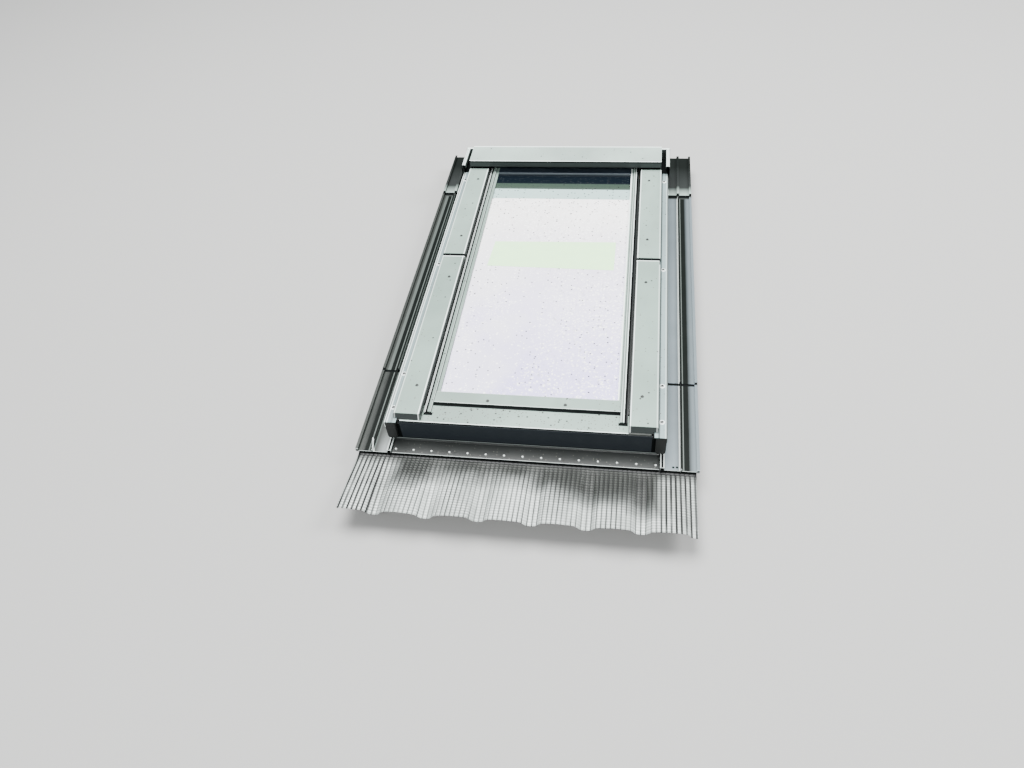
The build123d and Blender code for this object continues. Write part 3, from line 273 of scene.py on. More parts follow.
# Glass: the bands of painted reflection near its top, by their lower edges, the change of tint of its
# painted sky reflection up the slope, the place where grit starts, and the haze on its left, by the place
# across with noise added
NAVY_EDGE = 0.3675
OLIVE_EDGE = 0.3412
PALE_EDGE = 0.2958
BAND_BLUR = 0.0012
TINT_CHANGE = (-0.36, 0.22)
GRIT_START = (0.22, 0.30)
HAZE = (0.44, 0.30, 0.0, 0.45)

# Film on the glass
LABEL_CORNERS = ((-0.1515, 0.0108), (0.1544, 0.0047), (0.1549, 0.1130), (-0.1453, 0.1069))
LABEL_LIFT = 0.15 * MM
LABEL_SHEET = 0.1 * MM

# Places, in metres, where the finish of a piece changes, mostly by painted highlights and painted shade.
# Across the window they are distances from its middle line. Pairs are a start and an end, a third number
# is the share laid on there, and the curl, the clinches and the white mark have their place across and up
# the slope.
COVER_INNER_WALL = 0.1900
COVER_LINE_RIGHT = (0.2078, 0.2100, 0.8)
COVER_LINE_LEFT = (0.2095, 0.2117, 0.8)
COVER_OUTER_LINE = (0.2588, 0.2614, 0.35)
COVER_OUTER_WALL = (0.2615, 0.2700)
COVER_FRONT = 0.4885
COVER_SPLIT = 0.0226
SPLIT_LINE = (0.0202, 0.0226, 0.7)
NOTCH_SIDE = 0.2596
NOTCH_START = 0.0086
STRIP_FOOT_RIGHT = (0.2628, 0.2660, 0.75)
STRIP_LINE_RIGHT = (0.2752, 0.2778, 0.25)
STRIP_EDGE_RIGHT = 0.2779
STRIP_FOOT_LEFT = (0.2628, 0.2672, 0.35)
STRIP_LINE_LEFT = (0.2730, 0.2756, 0.5)
STRIP_GROOVE_LEFT = (0.2757, 0.2780, 0.75)
STRIP_EDGE_LEFT = 0.2781
STRIP_SCREW_LINE = 0.2695
STRIP_SCREW_ROWS = (-0.460, -0.365, 0.004, 0.372)
SCREW_RING = 0.0064
FRAME_SCREWS = 0.262
HOOD_FRONT = 0.4105
HOOD_FACE = 0.4135
HOOD_JOINT = (0.1095, 0.1120)
HOOD_BACK_LINE = (0.4835, 0.4885, 0.8)
BEAD_INNER_EDGE = (0.1, 0.1850)
BEAD_STEP_RIGHT = (0.1875, 0.1900, 0.45)
BEAD_FOOT_RIGHT = (0.1926, 0.1950, 0.75)
BEAD_CREST_RIGHT = (0.1950, 0.1970, 0.8)
BEAD_FLOOR_RIGHT = 0.1971
BEAD_RIM_RIGHT = 0.2018
BEAD_LEDGE_LEFT = (0.1881, 0.1901, 0.95)
BEAD_STEP_LEFT = (0.1901, 0.1935, 0.4)
BEAD_FLOOR_LEFT = 0.1960
BEAD_FLOOR_BLUR = 0.001
BEAD_RIM_LEFT = 0.2016
BEAD_NOSE = 0.4383
BEAD_MOUTH = (0.1860, 0.2045)
BEAD_MOUTH_LENGTH = (-0.4735, -0.4660)
RAIL_FLANGE_TOP = 0.0745
RAIL_END = 0.2060
RAIL_SEAM = 0.4476
BAND_SHADE_END = (-0.519, -0.494, 0.80)
BAND_FOLD = 0.0192
BAND_BACK = 0.0205
HEM_FRONT = 0.5268
HEM_FOOT = 0.0146
SKIRT_GAP = 0.5342
GUTTER_SHADE_GROWTH = (0.297, 0.308, 0.45)
WELT = (0.3065, 0.3091)
GUTTER_SIDE = 0.3450
GUTTER_LINE_RIGHT = (0.3142, 0.3162)
GUTTER_LINE_LEFT = (0.3165, 0.3185)
GUTTER_DARK = (0.326, 0.336)
GUTTER_SECOND_LINE = (0.3275, 0.3345, 0.8)
GUTTER_SHADE = (0.2790, 0.3080, 0.8)
SEAM_TOP = 0.0214
SEAM_FRONT = 0.4901
SEAM_GROOVE = (0.2722, 0.2762)
CORNER_LAP_SHADE = 0.3040
TOP_LAP_SHADE_GROWTH = (0.384, 0.387)
TOP_LAP_SHADE = 0.390
WING_WALL = 0.035
WING_SHADE_GROWTH = (0.402, 0.438)
WING_DARK = (0.450, 0.540)
WING_FRONT = 0.406
SILVER_ACROSS = (0.303, 0.287, 0.9)
SILVER_DOWN = (-0.452, -0.510)
SILVER_SIDE = 0.2785
CURL_PLACE = (-0.3115, -0.5135)
CURL_LEAN = -0.30
CURL_HALF = 0.0017
CURL_START = 0.492
CLINCHES = ((0.2954, -0.5195), (0.3026, -0.5190))
CLINCH_RADIUS = 0.0030
WHITE_MARK = (0.0025, -0.3880)
WHITE_MARK_RADIUS = 0.004
TIMBER_TOP = 0.0600
JAMB_END = 0.468


# Shader helpers
MIX_FACTOR = 0
MIX_FIRST = 6
MIX_SECOND = 7
MIX_RESULT = 2


def new_material(name):
    """Material with an empty tree but for its shader and output."""
    material = bpy.data.materials.new(name)
    material.use_nodes = True
    tree = material.node_tree
    shader = tree.nodes["Principled BSDF"]
    return material, tree, shader


def add_node(tree, kind, **settings):
    """New node of a kind, with its settings."""
    node = tree.nodes.new(kind)
    for key, value in settings.items():
        setattr(node, key, value)
    return node


def object_place(tree):
    """Place on the piece, in its own metres."""
    return add_node(tree, "ShaderNodeTexCoord").outputs["Object"]


def mixed(tree, factor, first, second):
    """Colour between two by a factor, each a socket or a plain colour, or value between two sockets."""
    node = add_node(tree, "ShaderNodeMix", data_type="RGBA")
    tree.links.new(factor, node.inputs[MIX_FACTOR])
    for number, value in ((MIX_FIRST, first), (MIX_SECOND, second)):
        if isinstance(value, bpy.types.NodeSocket):
            tree.links.new(value, node.inputs[number])
        else:
            node.inputs[number].default_value = (*value, 1.0)
    return node.outputs[MIX_RESULT]


def ranged(tree, value, low, high, out_low=0.0, out_high=1.0):
    """Value brought from one range to another, and kept in it."""
    node = add_node(tree, "ShaderNodeMapRange")
    tree.links.new(value, node.inputs["Value"])
    node.inputs["From Min"].default_value = low
    node.inputs["From Max"].default_value = high
    node.inputs["To Min"].default_value = out_low
    node.inputs["To Max"].default_value = out_high
    return node.outputs["Result"]


def noise_value(tree, scale, detail, stretch=EVEN):
    """Cloudy noise from 0 to 1, drawn out along the axes whose stretch is small."""
    mapping = add_node(tree, "ShaderNodeMapping")
    mapping.inputs["Scale"].default_value = stretch
    tree.links.new(object_place(tree), mapping.inputs["Vector"])
    node = add_node(tree, "ShaderNodeTexNoise")
    node.inputs["Scale"].default_value = scale
    node.inputs["Detail"].default_value = detail
    tree.links.new(mapping.outputs["Vector"], node.inputs["Vector"])
    return node.outputs["Fac"]


def noise_share(tree, scale, detail, stretch, low, high, out_low=0.0, out_high=1.0):
    """Value that grows between two levels of noise, mostly the share of a finish."""
    return ranged(tree, noise_value(tree, scale, detail, stretch), low, high, out_low, out_high)


def facing(tree, axis):
    """How far the surface faces along an axis of its own object, such as "Y"."""
    normal = add_node(tree, "ShaderNodeTexCoord").outputs["Normal"]
    split = add_node(tree, "ShaderNodeSeparateXYZ")
    tree.links.new(normal, split.inputs[0])
    return split.outputs[axis]


def place_value(tree, axis, absolute=False):
    """Place along an axis of the piece, in metres, or its distance from the middle."""
    split = add_node(tree, "ShaderNodeSeparateXYZ")
    tree.links.new(object_place(tree), split.inputs[0])
    if not absolute:
        return split.outputs[axis]
    size = add_node(tree, "ShaderNodeMath", operation="ABSOLUTE")
    tree.links.new(split.outputs[axis], size.inputs[0])
    return size.outputs[0]


def joined(tree, operation, first, second):
    """Two values put together by a sum, a product or the like."""
    node = add_node(tree, "ShaderNodeMath", operation=operation)
    for socket, value in zip(node.inputs, (first, second)):
        if isinstance(value, bpy.types.NodeSocket):
            tree.links.new(value, socket)
        else:
            socket.default_value = value
    return node.outputs[0]


def specks(tree, scale, size, share):
    """Small round specks seen from above: 1 inside one, over a share of the cells."""
    cells = add_node(tree, "ShaderNodeTexVoronoi", voronoi_dimensions="2D")
    cells.inputs["Scale"].default_value = scale
    tree.links.new(object_place(tree), cells.inputs["Vector"])
    near = ranged(tree, cells.outputs["Distance"], size, size * SPECK_CORE)
    split = add_node(tree, "ShaderNodeSeparateColor")
    tree.links.new(cells.outputs["Color"], split.inputs[0])
    chosen = ranged(tree, split.outputs[0], share, share - SPECK_STEP)
    return joined(tree, "MULTIPLY", near, chosen)


def add_bump(tree, shader, height, strength, distance):
    """Small rises of a finish, from a height."""
    bump = add_node(tree, "ShaderNodeBump")
    bump.inputs["Strength"].default_value = strength
    bump.inputs["Distance"].default_value = distance
    tree.links.new(height, bump.inputs["Height"])
    tree.links.new(bump.outputs["Normal"], shader.inputs["Normal"])


def beyond(axis, place, past=1, absolute=False, blur=SHARP):
    """Share of a finish past a place on an axis, upwards or, with past at -1, downwards."""
    def factor(tree):
        value = place_value(tree, axis, absolute)
        return ranged(tree, value, place - past * blur, place + past * blur)
    return factor


def within(*factors):
    """Share of a finish where several others meet."""
    def factor(tree):
        value = factors[0](tree)
        for item in factors[1:]:
            value = joined(tree, "MULTIPLY", value, item(tree))
        return value
    return factor


def stripe(axis, low, high, share=1.0, absolute=False):
    """Share of a finish between two places on an axis."""
    def factor(tree):
        both_sides = within(beyond(axis, low, 1, absolute), beyond(axis, high, -1, absolute))(tree)
        return both_sides if share == 1.0 else joined(tree, "MULTIPLY", both_sides, share)
    return factor


def across(side, start, end, share=1.0):
    """Share of a finish between two distances from the middle line, on one side of the window."""
    low, high = sorted((side * start, side * end))
    return stripe("X", low, high, share)


def outside(side, start, blur=SHARP):
    """Share of a finish past a distance from the middle line, on one side of the window."""
    return beyond("X", side * start, side, blur=blur)


def slow(axis, start, end, high=1.0):
    """Share of a finish that grows slowly between two places on an axis."""
    return lambda tree: ranged(tree, place_value(tree, axis), start, end, 0.0, high)


def slow_across(side, start, end, high=1.0):
    """Share of a finish that grows slowly between two distances from the middle, on one side."""
    return slow("X", side * start, side * end, high)


def to_middle(tree):
    """Share of a finish on walls that face the window's middle line."""
    product = joined(tree, "MULTIPLY", facing(tree, "X"), place_value(tree, "X"))
    return ranged(tree, product, *FACES_MIDDLE)


def spot(place, radius):
    """Share of a finish in a round spot seen from above."""
    def factor(tree):
        sideways = joined(tree, "SUBTRACT", place_value(tree, "X"), place[0])
        along = joined(tree, "SUBTRACT", place_value(tree, "Y"), place[1])
        square = joined(tree, "ADD", joined(tree, "MULTIPLY", sideways, sideways),
                        joined(tree, "MULTIPLY", along, along))
        return ranged(tree, square, radius ** 2, (radius * SPOT_CORE) ** 2)
    return factor


def leaning(place, lean, half):
    """Share of a finish on a narrow line through a place, leaning across by a share of its length."""
    def factor(tree):
        along = joined(tree, "SUBTRACT", place_value(tree, "Y"), place[1])
        sideways = joined(tree, "SUBTRACT", place_value(tree, "X"), place[0])
        sideways = joined(tree, "SUBTRACT", sideways, joined(tree, "MULTIPLY", along, lean))
        size = joined(tree, "ABSOLUTE", sideways, 0.0)
        return ranged(tree, size, half * LINE_ENDS[0], half * LINE_ENDS[1])
    return factor


# Materials
def scaled(color, share):
    """Colour made darker or paler by a share, and no paler than white."""
    return tuple(min(channel * share, 1.0) for channel in color)


def lacquer(name, top, side=SIDE_GREY, front=FRONT_GREY, dirt=0.0, marks=(), edge=BEND_HIGHLIGHT):
    """Satin lacquered sheet, with painted shade on its sides and on what faces down the slope.

    Its bends get a painted highlight by a share, edge. marks are shares of a finish and their colours,
    mostly painted highlights and painted shade, laid over it in turn. What is nearly black is dull, so
    that the painted shade in joints stays dark.
    """
    material, tree, shader = new_material(name)
    up = ranged(tree, facing(tree, "Z"), *FACES_SKY)
    down_slope = ranged(tree, facing(tree, "Y"), *FACES_DOWN)
    cloud = noise_share(tree, *LACQUER_CLOUD)
    sky_side = mixed(tree, cloud, scaled(top, CLOUD_DARK), scaled(top, CLOUD_PALE))
    sky_side = mixed(tree, noise_share(tree, *LACQUER_SMEAR), sky_side, scaled(top, SMEAR_DARK))
    if dirt:
        sky_side = mixed(tree, specks(tree, *DIRT_SPECKS, dirt), sky_side, DIRT)
        sky_side = mixed(tree, specks(tree, *DUST_SPECKS, dirt), sky_side, DUST)
    # Painted shade: darker colours on the sides and on what faces down the slope
    color = mixed(tree, up, side, sky_side)
    color = mixed(tree, down_slope, color, front)
    # Painted highlight on the bends between the flat faces
    rise = facing(tree, "Z")
    bend = joined(tree, "MULTIPLY", ranged(tree, rise, *BEND_START), ranged(tree, rise, *BEND_END))
    color = mixed(tree, joined(tree, "MULTIPLY", bend, edge), color, EDGE_LIGHT)
    for factor, mark in marks:
        color = mixed(tree, factor(tree), color, mark)
    tree.links.new(color, shader.inputs["Base Color"])
    lightness = add_node(tree, "ShaderNodeRGBToBW")
    tree.links.new(color, lightness.inputs[0])
    shine = ranged(tree, lightness.outputs[0], *SHINE_BY_LIGHTNESS)
    tree.links.new(shine, shader.inputs["Specular IOR Level"])
    shader.inputs["Metallic"].default_value = 0.08
    tree.links.new(noise_share(tree, *LACQUER_SHEEN), shader.inputs["Roughness"])
    add_bump(tree, shader, noise_value(tree, *LACQUER_WAVES), *LACQUER_BUMP)
    return material


def screw_metal():
    """Zinc screws with black painted shade in the recess of what faces the sky, and worn bright on the
    strips.
    """
    material, tree, shader = new_material("screw_metal")
    rim = mixed(tree, beyond("X", FRAME_SCREWS, absolute=True)(tree), SCREW_GREY, SCREW_BRIGHT)
    color = mixed(tree, ranged(tree, facing(tree, "Z"), *RECESS_FACES), rim, RECESS_BLACK)
    tree.links.new(color, shader.inputs["Base Color"])
    shader.inputs["Metallic"].default_value = 0.4
    shader.inputs["Roughness"].default_value = 0.35
    return material


def stud_metal():
    """Studs with a painted highlight on their crown."""
    material, tree, shader = new_material("bright_stud")
    crown = ranged(tree, facing(tree, "Z"), *CROWN_FACES)
    tree.links.new(mixed(tree, crown, STUD_GREY, STUD_BRIGHT), shader.inputs["Base Color"])
    shader.inputs["Metallic"].default_value = 0.2
    shader.inputs["Roughness"].default_value = 0.4
    return material


def plain(name, color, roughness, metallic=0.0):
    """Finish of one colour with faint darker clouds."""
    material, tree, shader = new_material(name)
    shaded = mixed(tree, noise_share(tree, *PLAIN_CLOUD), color, scaled(color, PLAIN_DARK))
    tree.links.new(shaded, shader.inputs["Base Color"])
    shader.inputs["Roughness"].default_value = roughness
    shader.inputs["Metallic"].default_value = metallic
    return material


def timber_material(name, along):
    """Lacquered pine with its grain along X or Y, painted black as shade on top, towards the sky and at
    its end.
    """
    material, tree, shader = new_material(name)
    stretch = (GRAIN_STRETCH, 1.0, 1.0) if along == "X" else (1.0, GRAIN_STRETCH, 1.0)
    rings = noise_value(tree, *PINE_RINGS, stretch)
    fibres = noise_value(tree, *PINE_FIBRES, stretch)
    color = mixed(tree, ranged(tree, rings, *RING_LEVELS), PINE_DARK, PINE_PALE)
    color = mixed(tree, ranged(tree, fibres, *FIBRE_LEVELS), color, PINE_GRAIN)
    # Painted shade, black on the timber's top, on what faces the sky and at the jambs' lower end
    color = mixed(tree, beyond("Z", TIMBER_TOP)(tree), color, PAINTED_SHADE_BLACK)
    color = mixed(tree, beyond("Y", -JAMB_END, -1)(tree), color, PAINTED_SHADE_BLACK)
    color = mixed(tree, ranged(tree, facing(tree, "Z"), *SKY_FACES_SHADED), color, PAINTED_SHADE_BLACK)
    tree.links.new(color, shader.inputs["Base Color"])
    shader.inputs["Roughness"].default_value = 0.42
    shader.inputs["Coat Weight"].default_value = 0.3
    shader.inputs["Coat Roughness"].default_value = 0.2
    add_bump(tree, shader, fibres, *PINE_BUMP)
    return material


def glass_sky(tree):
    """Colour of the glass below its bands: pale tints of painted sky reflection, and the white and grey
    marks of rain on it.
    """
    cloud = noise_share(tree, *GLASS_CLOUD)
    warm = mixed(tree, cloud, *GLASS_WARM)
    lilac = mixed(tree, cloud, *GLASS_LILAC)
    pale = mixed(tree, ranged(tree, place_value(tree, "Y"), *TINT_CHANGE), lilac, warm)
    patches = noise_share(tree, *RAIN_PATCHES)
    for marks, color in ((RAIN_MARKS, WHITE), (GRIME_MARKS, GRIME)):
        pale = mixed(tree, joined(tree, "MULTIPLY", noise_share(tree, *marks), patches), pale, color)
    hazy = joined(tree, "ADD", place_value(tree, "X"), noise_value(tree, *HAZE_NOISE))
    pale = mixed(tree, ranged(tree, hazy, *HAZE), pale, GLASS_HAZE)
    for pattern, color in ((PALE_SPECKS, WHITE), (FINE_SPECKS, WHITE), (GREY_SPECKS, SPECK_GREY)):
        pale = mixed(tree, specks(tree, *pattern), pale, color)
    return pale


def outer_glass_material():
    """Glass with a painted sky reflection and dark bands of painted reflection near its top, grit, drops
    and one white mark.
    """
    material, tree, shader = new_material("sky_glass")
    color = mixed(tree, beyond("Y", PALE_EDGE, blur=BAND_BLUR)(tree), glass_sky(tree), PALE_BAND)
    upper = ranged(tree, place_value(tree, "Y"), *GRIT_START)
    color = mixed(tree, joined(tree, "MULTIPLY", specks(tree, *GRIT_SPECKS), upper), color, GRIT)
    color = mixed(tree, beyond("Y", OLIVE_EDGE, blur=BAND_BLUR)(tree), color, OLIVE_BAND)
    color = mixed(tree, beyond("Y", NAVY_EDGE, blur=BAND_BLUR)(tree), color, NAVY_BAND)
    color = mixed(tree, specks(tree, *BLACK_SPECKS), color, SPECK_BLACK)
    drops = joined(tree, "MULTIPLY", specks(tree, *DROP_SPECKS), beyond("Y", OLIVE_EDGE)(tree))
    color = mixed(tree, drops, color, DROP_GREY)
    color = mixed(tree, spot(WHITE_MARK, WHITE_MARK_RADIUS)(tree), color, WHITE)
    tree.links.new(color, shader.inputs["Base Color"])
    shader.inputs["Roughness"].default_value = 0.12
    shader.inputs["Specular IOR Level"].default_value = 0.35
    shader.inputs["Coat Weight"].default_value = 0.15
    shader.inputs["Coat Roughness"].default_value = 0.03
    return material


def clear_glass_material():
    """Clear glass of the inner pane."""
    material, _, shader = new_material("clear_glass")
    shader.inputs["Base Color"].default_value = (*CLEAR_GLASS, 1.0)
    shader.inputs["Roughness"].default_value = 0.05
    shader.inputs["Transmission Weight"].default_value = 0.9
    return material


def skirt_brightness(tree):
    """Share of the skirt's painted sky reflection against its painted shade: none under the band, full at
    its edge, high at its sides.
    """
    from_middle = place_value(tree, "X")
    down = place_value(tree, "Y")
    for start, end, shift in SHADE_SHIFTS:
        down = joined(tree, "ADD", down, ranged(tree, from_middle, start, end, 0.0, shift))
    down = joined(tree, "ADD", down, noise_share(tree, *SHADE_RAGGED))
    lower = joined(tree, "POWER", ranged(tree, down, *SHADE_ENDS), SHADE_POWER)
    side = joined(tree, "MAXIMUM", ranged(tree, from_middle, *BRIGHT_LEFT),
                  ranged(tree, from_middle, *BRIGHT_RIGHT))
    side = joined(tree, "MULTIPLY", side, ranged(tree, place_value(tree, "Y"), *BRIGHT_DOWN))
    return joined(tree, "MAXIMUM", lower, side)


def skirt_creases(tree):
    """Share of black painted shade in the creases between the pleats, deeper at the sides and in the
    folds.
    """
    from_middle = place_value(tree, "X")
    phase = joined(tree, "MULTIPLY", from_middle, 2 * math.pi / PLEAT_PITCH)
    edge = ranged(tree, place_value(tree, "X", absolute=True), *STREAKED_EDGE)
    crease = joined(tree, "COSINE", phase, 0.0)
    groove = mixed(tree, edge, ranged(tree, crease, *CREASE_NARROW), ranged(tree, crease, *CREASE_WIDE))
    wave = joined(tree, "MULTIPLY", joined(tree, "SUBTRACT", from_middle, WAVE_VALLEY - FOLD_SHIFT),
                  2 * math.pi / WAVE_PITCH)
    fold = ranged(tree, joined(tree, "COSINE", wave, 0.0), *FOLD_CREST)
    fold = joined(tree, "MULTIPLY", fold, ranged(tree, place_value(tree, "Y"), *FOLD_DOWN))
    fold = joined(tree, "MULTIPLY", fold, noise_share(tree, *FOLD_BROKEN))
    streaks = joined(tree, "MULTIPLY", edge, noise_share(tree, *EDGE_STREAKS))
    depth = joined(tree, "MAXIMUM", streaks, fold)
    depth = joined(tree, "MAXIMUM", depth, noise_share(tree, *CREASE_BROKEN))
    return joined(tree, "MULTIPLY", groove, depth)


def skirt_material():
    """Coated pleated metal, with painted shade under the band and painted sky reflection towards its edge
    and sides.
    """
    material, tree, shader = new_material("pleated_metal")
    bright = skirt_brightness(tree)
    cloud = noise_share(tree, *SKIRT_CLOUD)
    color = mixed(tree, bright, mixed(tree, cloud, *SKIRT_SHADED), mixed(tree, cloud, *SKIRT_OPEN))
    ripple = joined(tree, "SINE", joined(tree, "MULTIPLY", place_value(tree, "Y"),
                                         2 * math.pi / RIPPLE_PITCH), 0.0)
    # Painted highlights on the ripples' crests
    dashes = joined(tree, "MULTIPLY", ranged(tree, ripple, *RIPPLE_CREST), noise_share(tree, *RIPPLE_WORN))
    color = mixed(tree, dashes, color, mixed(tree, bright, RIPPLE_SHADED, RIPPLE_OPEN))
    # Black painted shade in the creases
    color = mixed(tree, skirt_creases(tree), color, CREASE_BLACK)
    # Painted shadow under the band's hem
    color = mixed(tree, beyond("Y", -SKIRT_GAP)(tree), color, PAINTED_SHADE_BLACK)
    tree.links.new(color, shader.inputs["Base Color"])
    shader.inputs["Metallic"].default_value = 0.2
    shader.inputs["Roughness"].default_value = 0.42
    shader.inputs["Specular IOR Level"].default_value = 0.3
    add_bump(tree, shader, ripple, *RIPPLE_BUMP)
    return material


# Pieces made here
def fall_level(y):
    """Level of the skirt's middle at a place down the slope, straight between its points."""
    down = -y / MM
    for (start, first), (end, last) in zip(SKIRT_FALL, SKIRT_FALL[1:]):
        if down <= end:
            share = max((down - start) / (end - start), 0.0)
            return (first + (last - first) * share) * MM
    return SKIRT_FALL[-1][1] * MM


def wave_rise(x):
    """Rise of the broad waves at a place across, from -1 in a valley to 1 on a crest."""
    share = abs(math.remainder(x - WAVE_VALLEY, WAVE_PITCH)) / WAVE_PITCH
    for (start, first), (end, last) in zip(WAVE_PROFILE, WAVE_PROFILE[1:]):
        if share <= end:
            ease = (1 - math.cos(math.pi * (share - start) / (end - start))) / 2
            return first + (last - first) * ease
    return WAVE_PROFILE[-1][1]


def skirt_level(x, y, low, pleat):
    """Level of the skirt's top at one place, in metres."""
    spread = min(max((-y - SKIRT_FREE) / (-low.y - SKIRT_FREE), 0.0), 1.0)
    drape = WAVE_HEIGHT / 2 * wave_rise(x) * spread
    field = Vector((x * DENT_FIELD[0], y * DENT_FIELD[1], DENT_FIELD[2]))
    dent = DENT_HEIGHT * min(spread * DENT_GROWTH, 1.0) * noise.noise(field)
    size = PLEAT_SWING / 2 * min(PLEAT_ROOT + max(-y - SKIRT_FREE, 0.0) / PLEAT_GROWTH, 1.0)
    return fall_level(y) + pleat * size + drape + dent


def pleated_skirt():
    """Closed sheet with its pleats, in the CAD skirt's place."""
    low, high = (Vector(corner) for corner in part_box("apron_skirt"))
    half = round(high.x / PLEAT_PITCH)
    columns = [((pleat + share) * PLEAT_PITCH, rise) for pleat in range(-half, half)
               for share, rise in PLEAT_PROFILE]
    columns = [(x, rise) for x, rise in columns if low.x < x < high.x]
    columns = [(low.x, END_RISE), *columns, (high.x, END_RISE)]
    vertices = []
    for side in (0.0, SKIRT_SHEET):
        for row in range(SKIRT_ROWS + 1):
            y = high.y + (low.y - high.y) * row / SKIRT_ROWS
            vertices += [(x, y, skirt_level(x, y, low, rise) - side) for x, rise in columns]
    width = len(columns)
    count = width * (SKIRT_ROWS + 1)
    faces = []
    for row in range(SKIRT_ROWS):
        for column in range(width - 1):
            corner = row * width + column
            top = (corner, corner + width, corner + width + 1, corner + 1)
            faces.append(top)
            faces.append(tuple(count + place for place in (top[0], *top[:0:-1])))
        for edge in (0, width - 1):
            corner = row * width + edge
            rim = (corner, corner + count, corner + count + width, corner + width)
            faces.append(rim if edge == 0 else rim[::-1])
    for column in range(width - 1):
        for start in (0, SKIRT_ROWS * width):
            corner = start + column
            rim = (corner, corner + 1, corner + 1 + count, corner + count)
            faces.append(rim if start == 0 else rim[::-1])
    mesh = bpy.data.meshes.new("pleated_skirt")
    mesh.from_pydata(vertices, [], faces)
    mesh.polygons.foreach_set("use_smooth", [True] * len(mesh.polygons))
    skirt = bpy.data.objects.new("pleated_skirt", mesh)
    bpy.context.scene.collection.objects.link(skirt)
    mesh.materials.append(skirt_material())
    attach(skirt, "frame")
    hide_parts("apron_skirt")


def label_film():
    """Plain pale green film on the glass, with nothing on it."""
    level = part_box("outer_pane")[1][2] + LABEL_LIFT
    vertices = [(x, y, level) for x, y in LABEL_CORNERS]
    vertices += [(x, y, level + LABEL_SHEET) for x, y in LABEL_CORNERS]
    faces = [(3, 2, 1, 0), (4, 5, 6, 7), (0, 1, 5, 4), (1, 2, 6, 5), (2, 3, 7, 6), (3, 0, 4, 7)]
    mesh = bpy.data.meshes.new("label_film")
    mesh.from_pydata(vertices, [], faces)
    film = bpy.data.objects.new("label_film", mesh)
    bpy.context.scene.collection.objects.link(film)
    mesh.materials.append(plain("pale_green_film", FILM_GREEN, roughness=0.45))
    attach(film, "sash")


def paint(material, *names):
    """Gives CAD nodes a material."""
    for name in names:
        slots = NODES[name].data.materials
        slots.clear()
        slots.append(material)


def both(name):
    """Names of the left and the right piece of a pair."""
    return name + "_left", name + "_right"


# Finish of every piece, with its painted highlights and painted shade
# Painted shadow under the hood and under the band's hem, and a painted highlight along the hem
under_hood = (beyond("Y", HOOD_FRONT), PAINTED_SHADE_BLACK)
under_hem = (within(beyond("Y", -HEM_FRONT, -1), beyond("Z", HEM_FOOT, -1)), PAINTED_SHADE_BLACK)
hem = (beyond("Y", -HEM_FRONT, -1), HEM_BRIGHT)


def wide_cover(name, color, side, line, end_marks):
    """Lacquer of a wide cover, with painted highlights along its two bends and painted shade on its walls.
    """
    marks = [
        (across(side, *line), EDGE_LIGHT),
        (across(side, COVER_INNER_WALL, line[0]), SHADE_GREY),
        (to_middle, WALL_SHADE_GREY),
        (across(side, *COVER_OUTER_LINE), EDGE_LIGHT),
        (across(side, *COVER_OUTER_WALL), SHADE_GREY),
    ]
    return lacquer(name, color, dirt=0.06, edge=0.0, marks=marks + end_marks)


# Painted highlight below the covers' joint, and black painted shade in its gap and in the notch
joint_marks = [
    (stripe("Y", *SPLIT_LINE), EDGE_LIGHT),
    (beyond("Y", COVER_SPLIT), PAINTED_SHADE_BLACK),
]
notch_marks = [(within(beyond("X", NOTCH_SIDE), beyond("Y", NOTCH_START)), PAINTED_SHADE_BLACK)]
upper_right = wide_cover("upper_right_lacquer", UPPER_GREY, 1, COVER_LINE_RIGHT, [under_hood])
upper_left = wide_cover("upper_left_lacquer", UPPER_GREY, -1, COVER_LINE_LEFT, [under_hood])
lower_right = wide_cover("lower_right_lacquer", LIGHT_GREY, 1, COVER_LINE_RIGHT,
                         joint_marks + notch_marks)
lower_left = wide_cover("lower_left_lacquer", LIGHT_GREY, -1, COVER_LINE_LEFT, joint_marks)


def side_strip(name, side, marks):
    """Lacquer of a side strip, with worn rings at its screws."""
    rings = [(spot((side * STRIP_SCREW_LINE, row), SCREW_RING), EDGE_LIGHT) for row in STRIP_SCREW_ROWS]
    return lacquer(name, STRIP_GREY, dirt=0.06, edge=0.0, marks=rings + marks + [under_hood])


# Painted shade at each strip's foot, painted highlight lines along it, and at its outer edge painted shade
# on the right and a painted highlight on the left; the left one also has a groove of painted shade
strip_right = side_strip("strip_lacquer", 1, [
    (across(1, *STRIP_FOOT_RIGHT), DARK_FLOOR),
    (across(1, *STRIP_LINE_RIGHT), EDGE_LIGHT),
    (outside(1, STRIP_EDGE_RIGHT), SHADE_GREY),
])
strip_left = side_strip("left_strip_lacquer", -1, [
    (across(-1, *STRIP_FOOT_LEFT), DARK_FLOOR),
    (across(-1, *STRIP_LINE_LEFT), EDGE_LIGHT),
    (across(-1, *STRIP_GROOVE_LEFT), SHADE_GREY),
    (outside(-1, STRIP_EDGE_LEFT), EDGE_LIGHT),
])
# Painted shade in a thin line below the hood's front bend, and a painted highlight along its back edge
hood_lacquer = lacquer("hood_lacquer", HOOD_GREY, dirt=0.04, marks=[
    (within(stripe("Z", *HOOD_JOINT), beyond("Y", HOOD_FACE, -1)), DARK_FLOOR),
    (stripe("Y", *HOOD_BACK_LINE), EDGE_LIGHT),
])
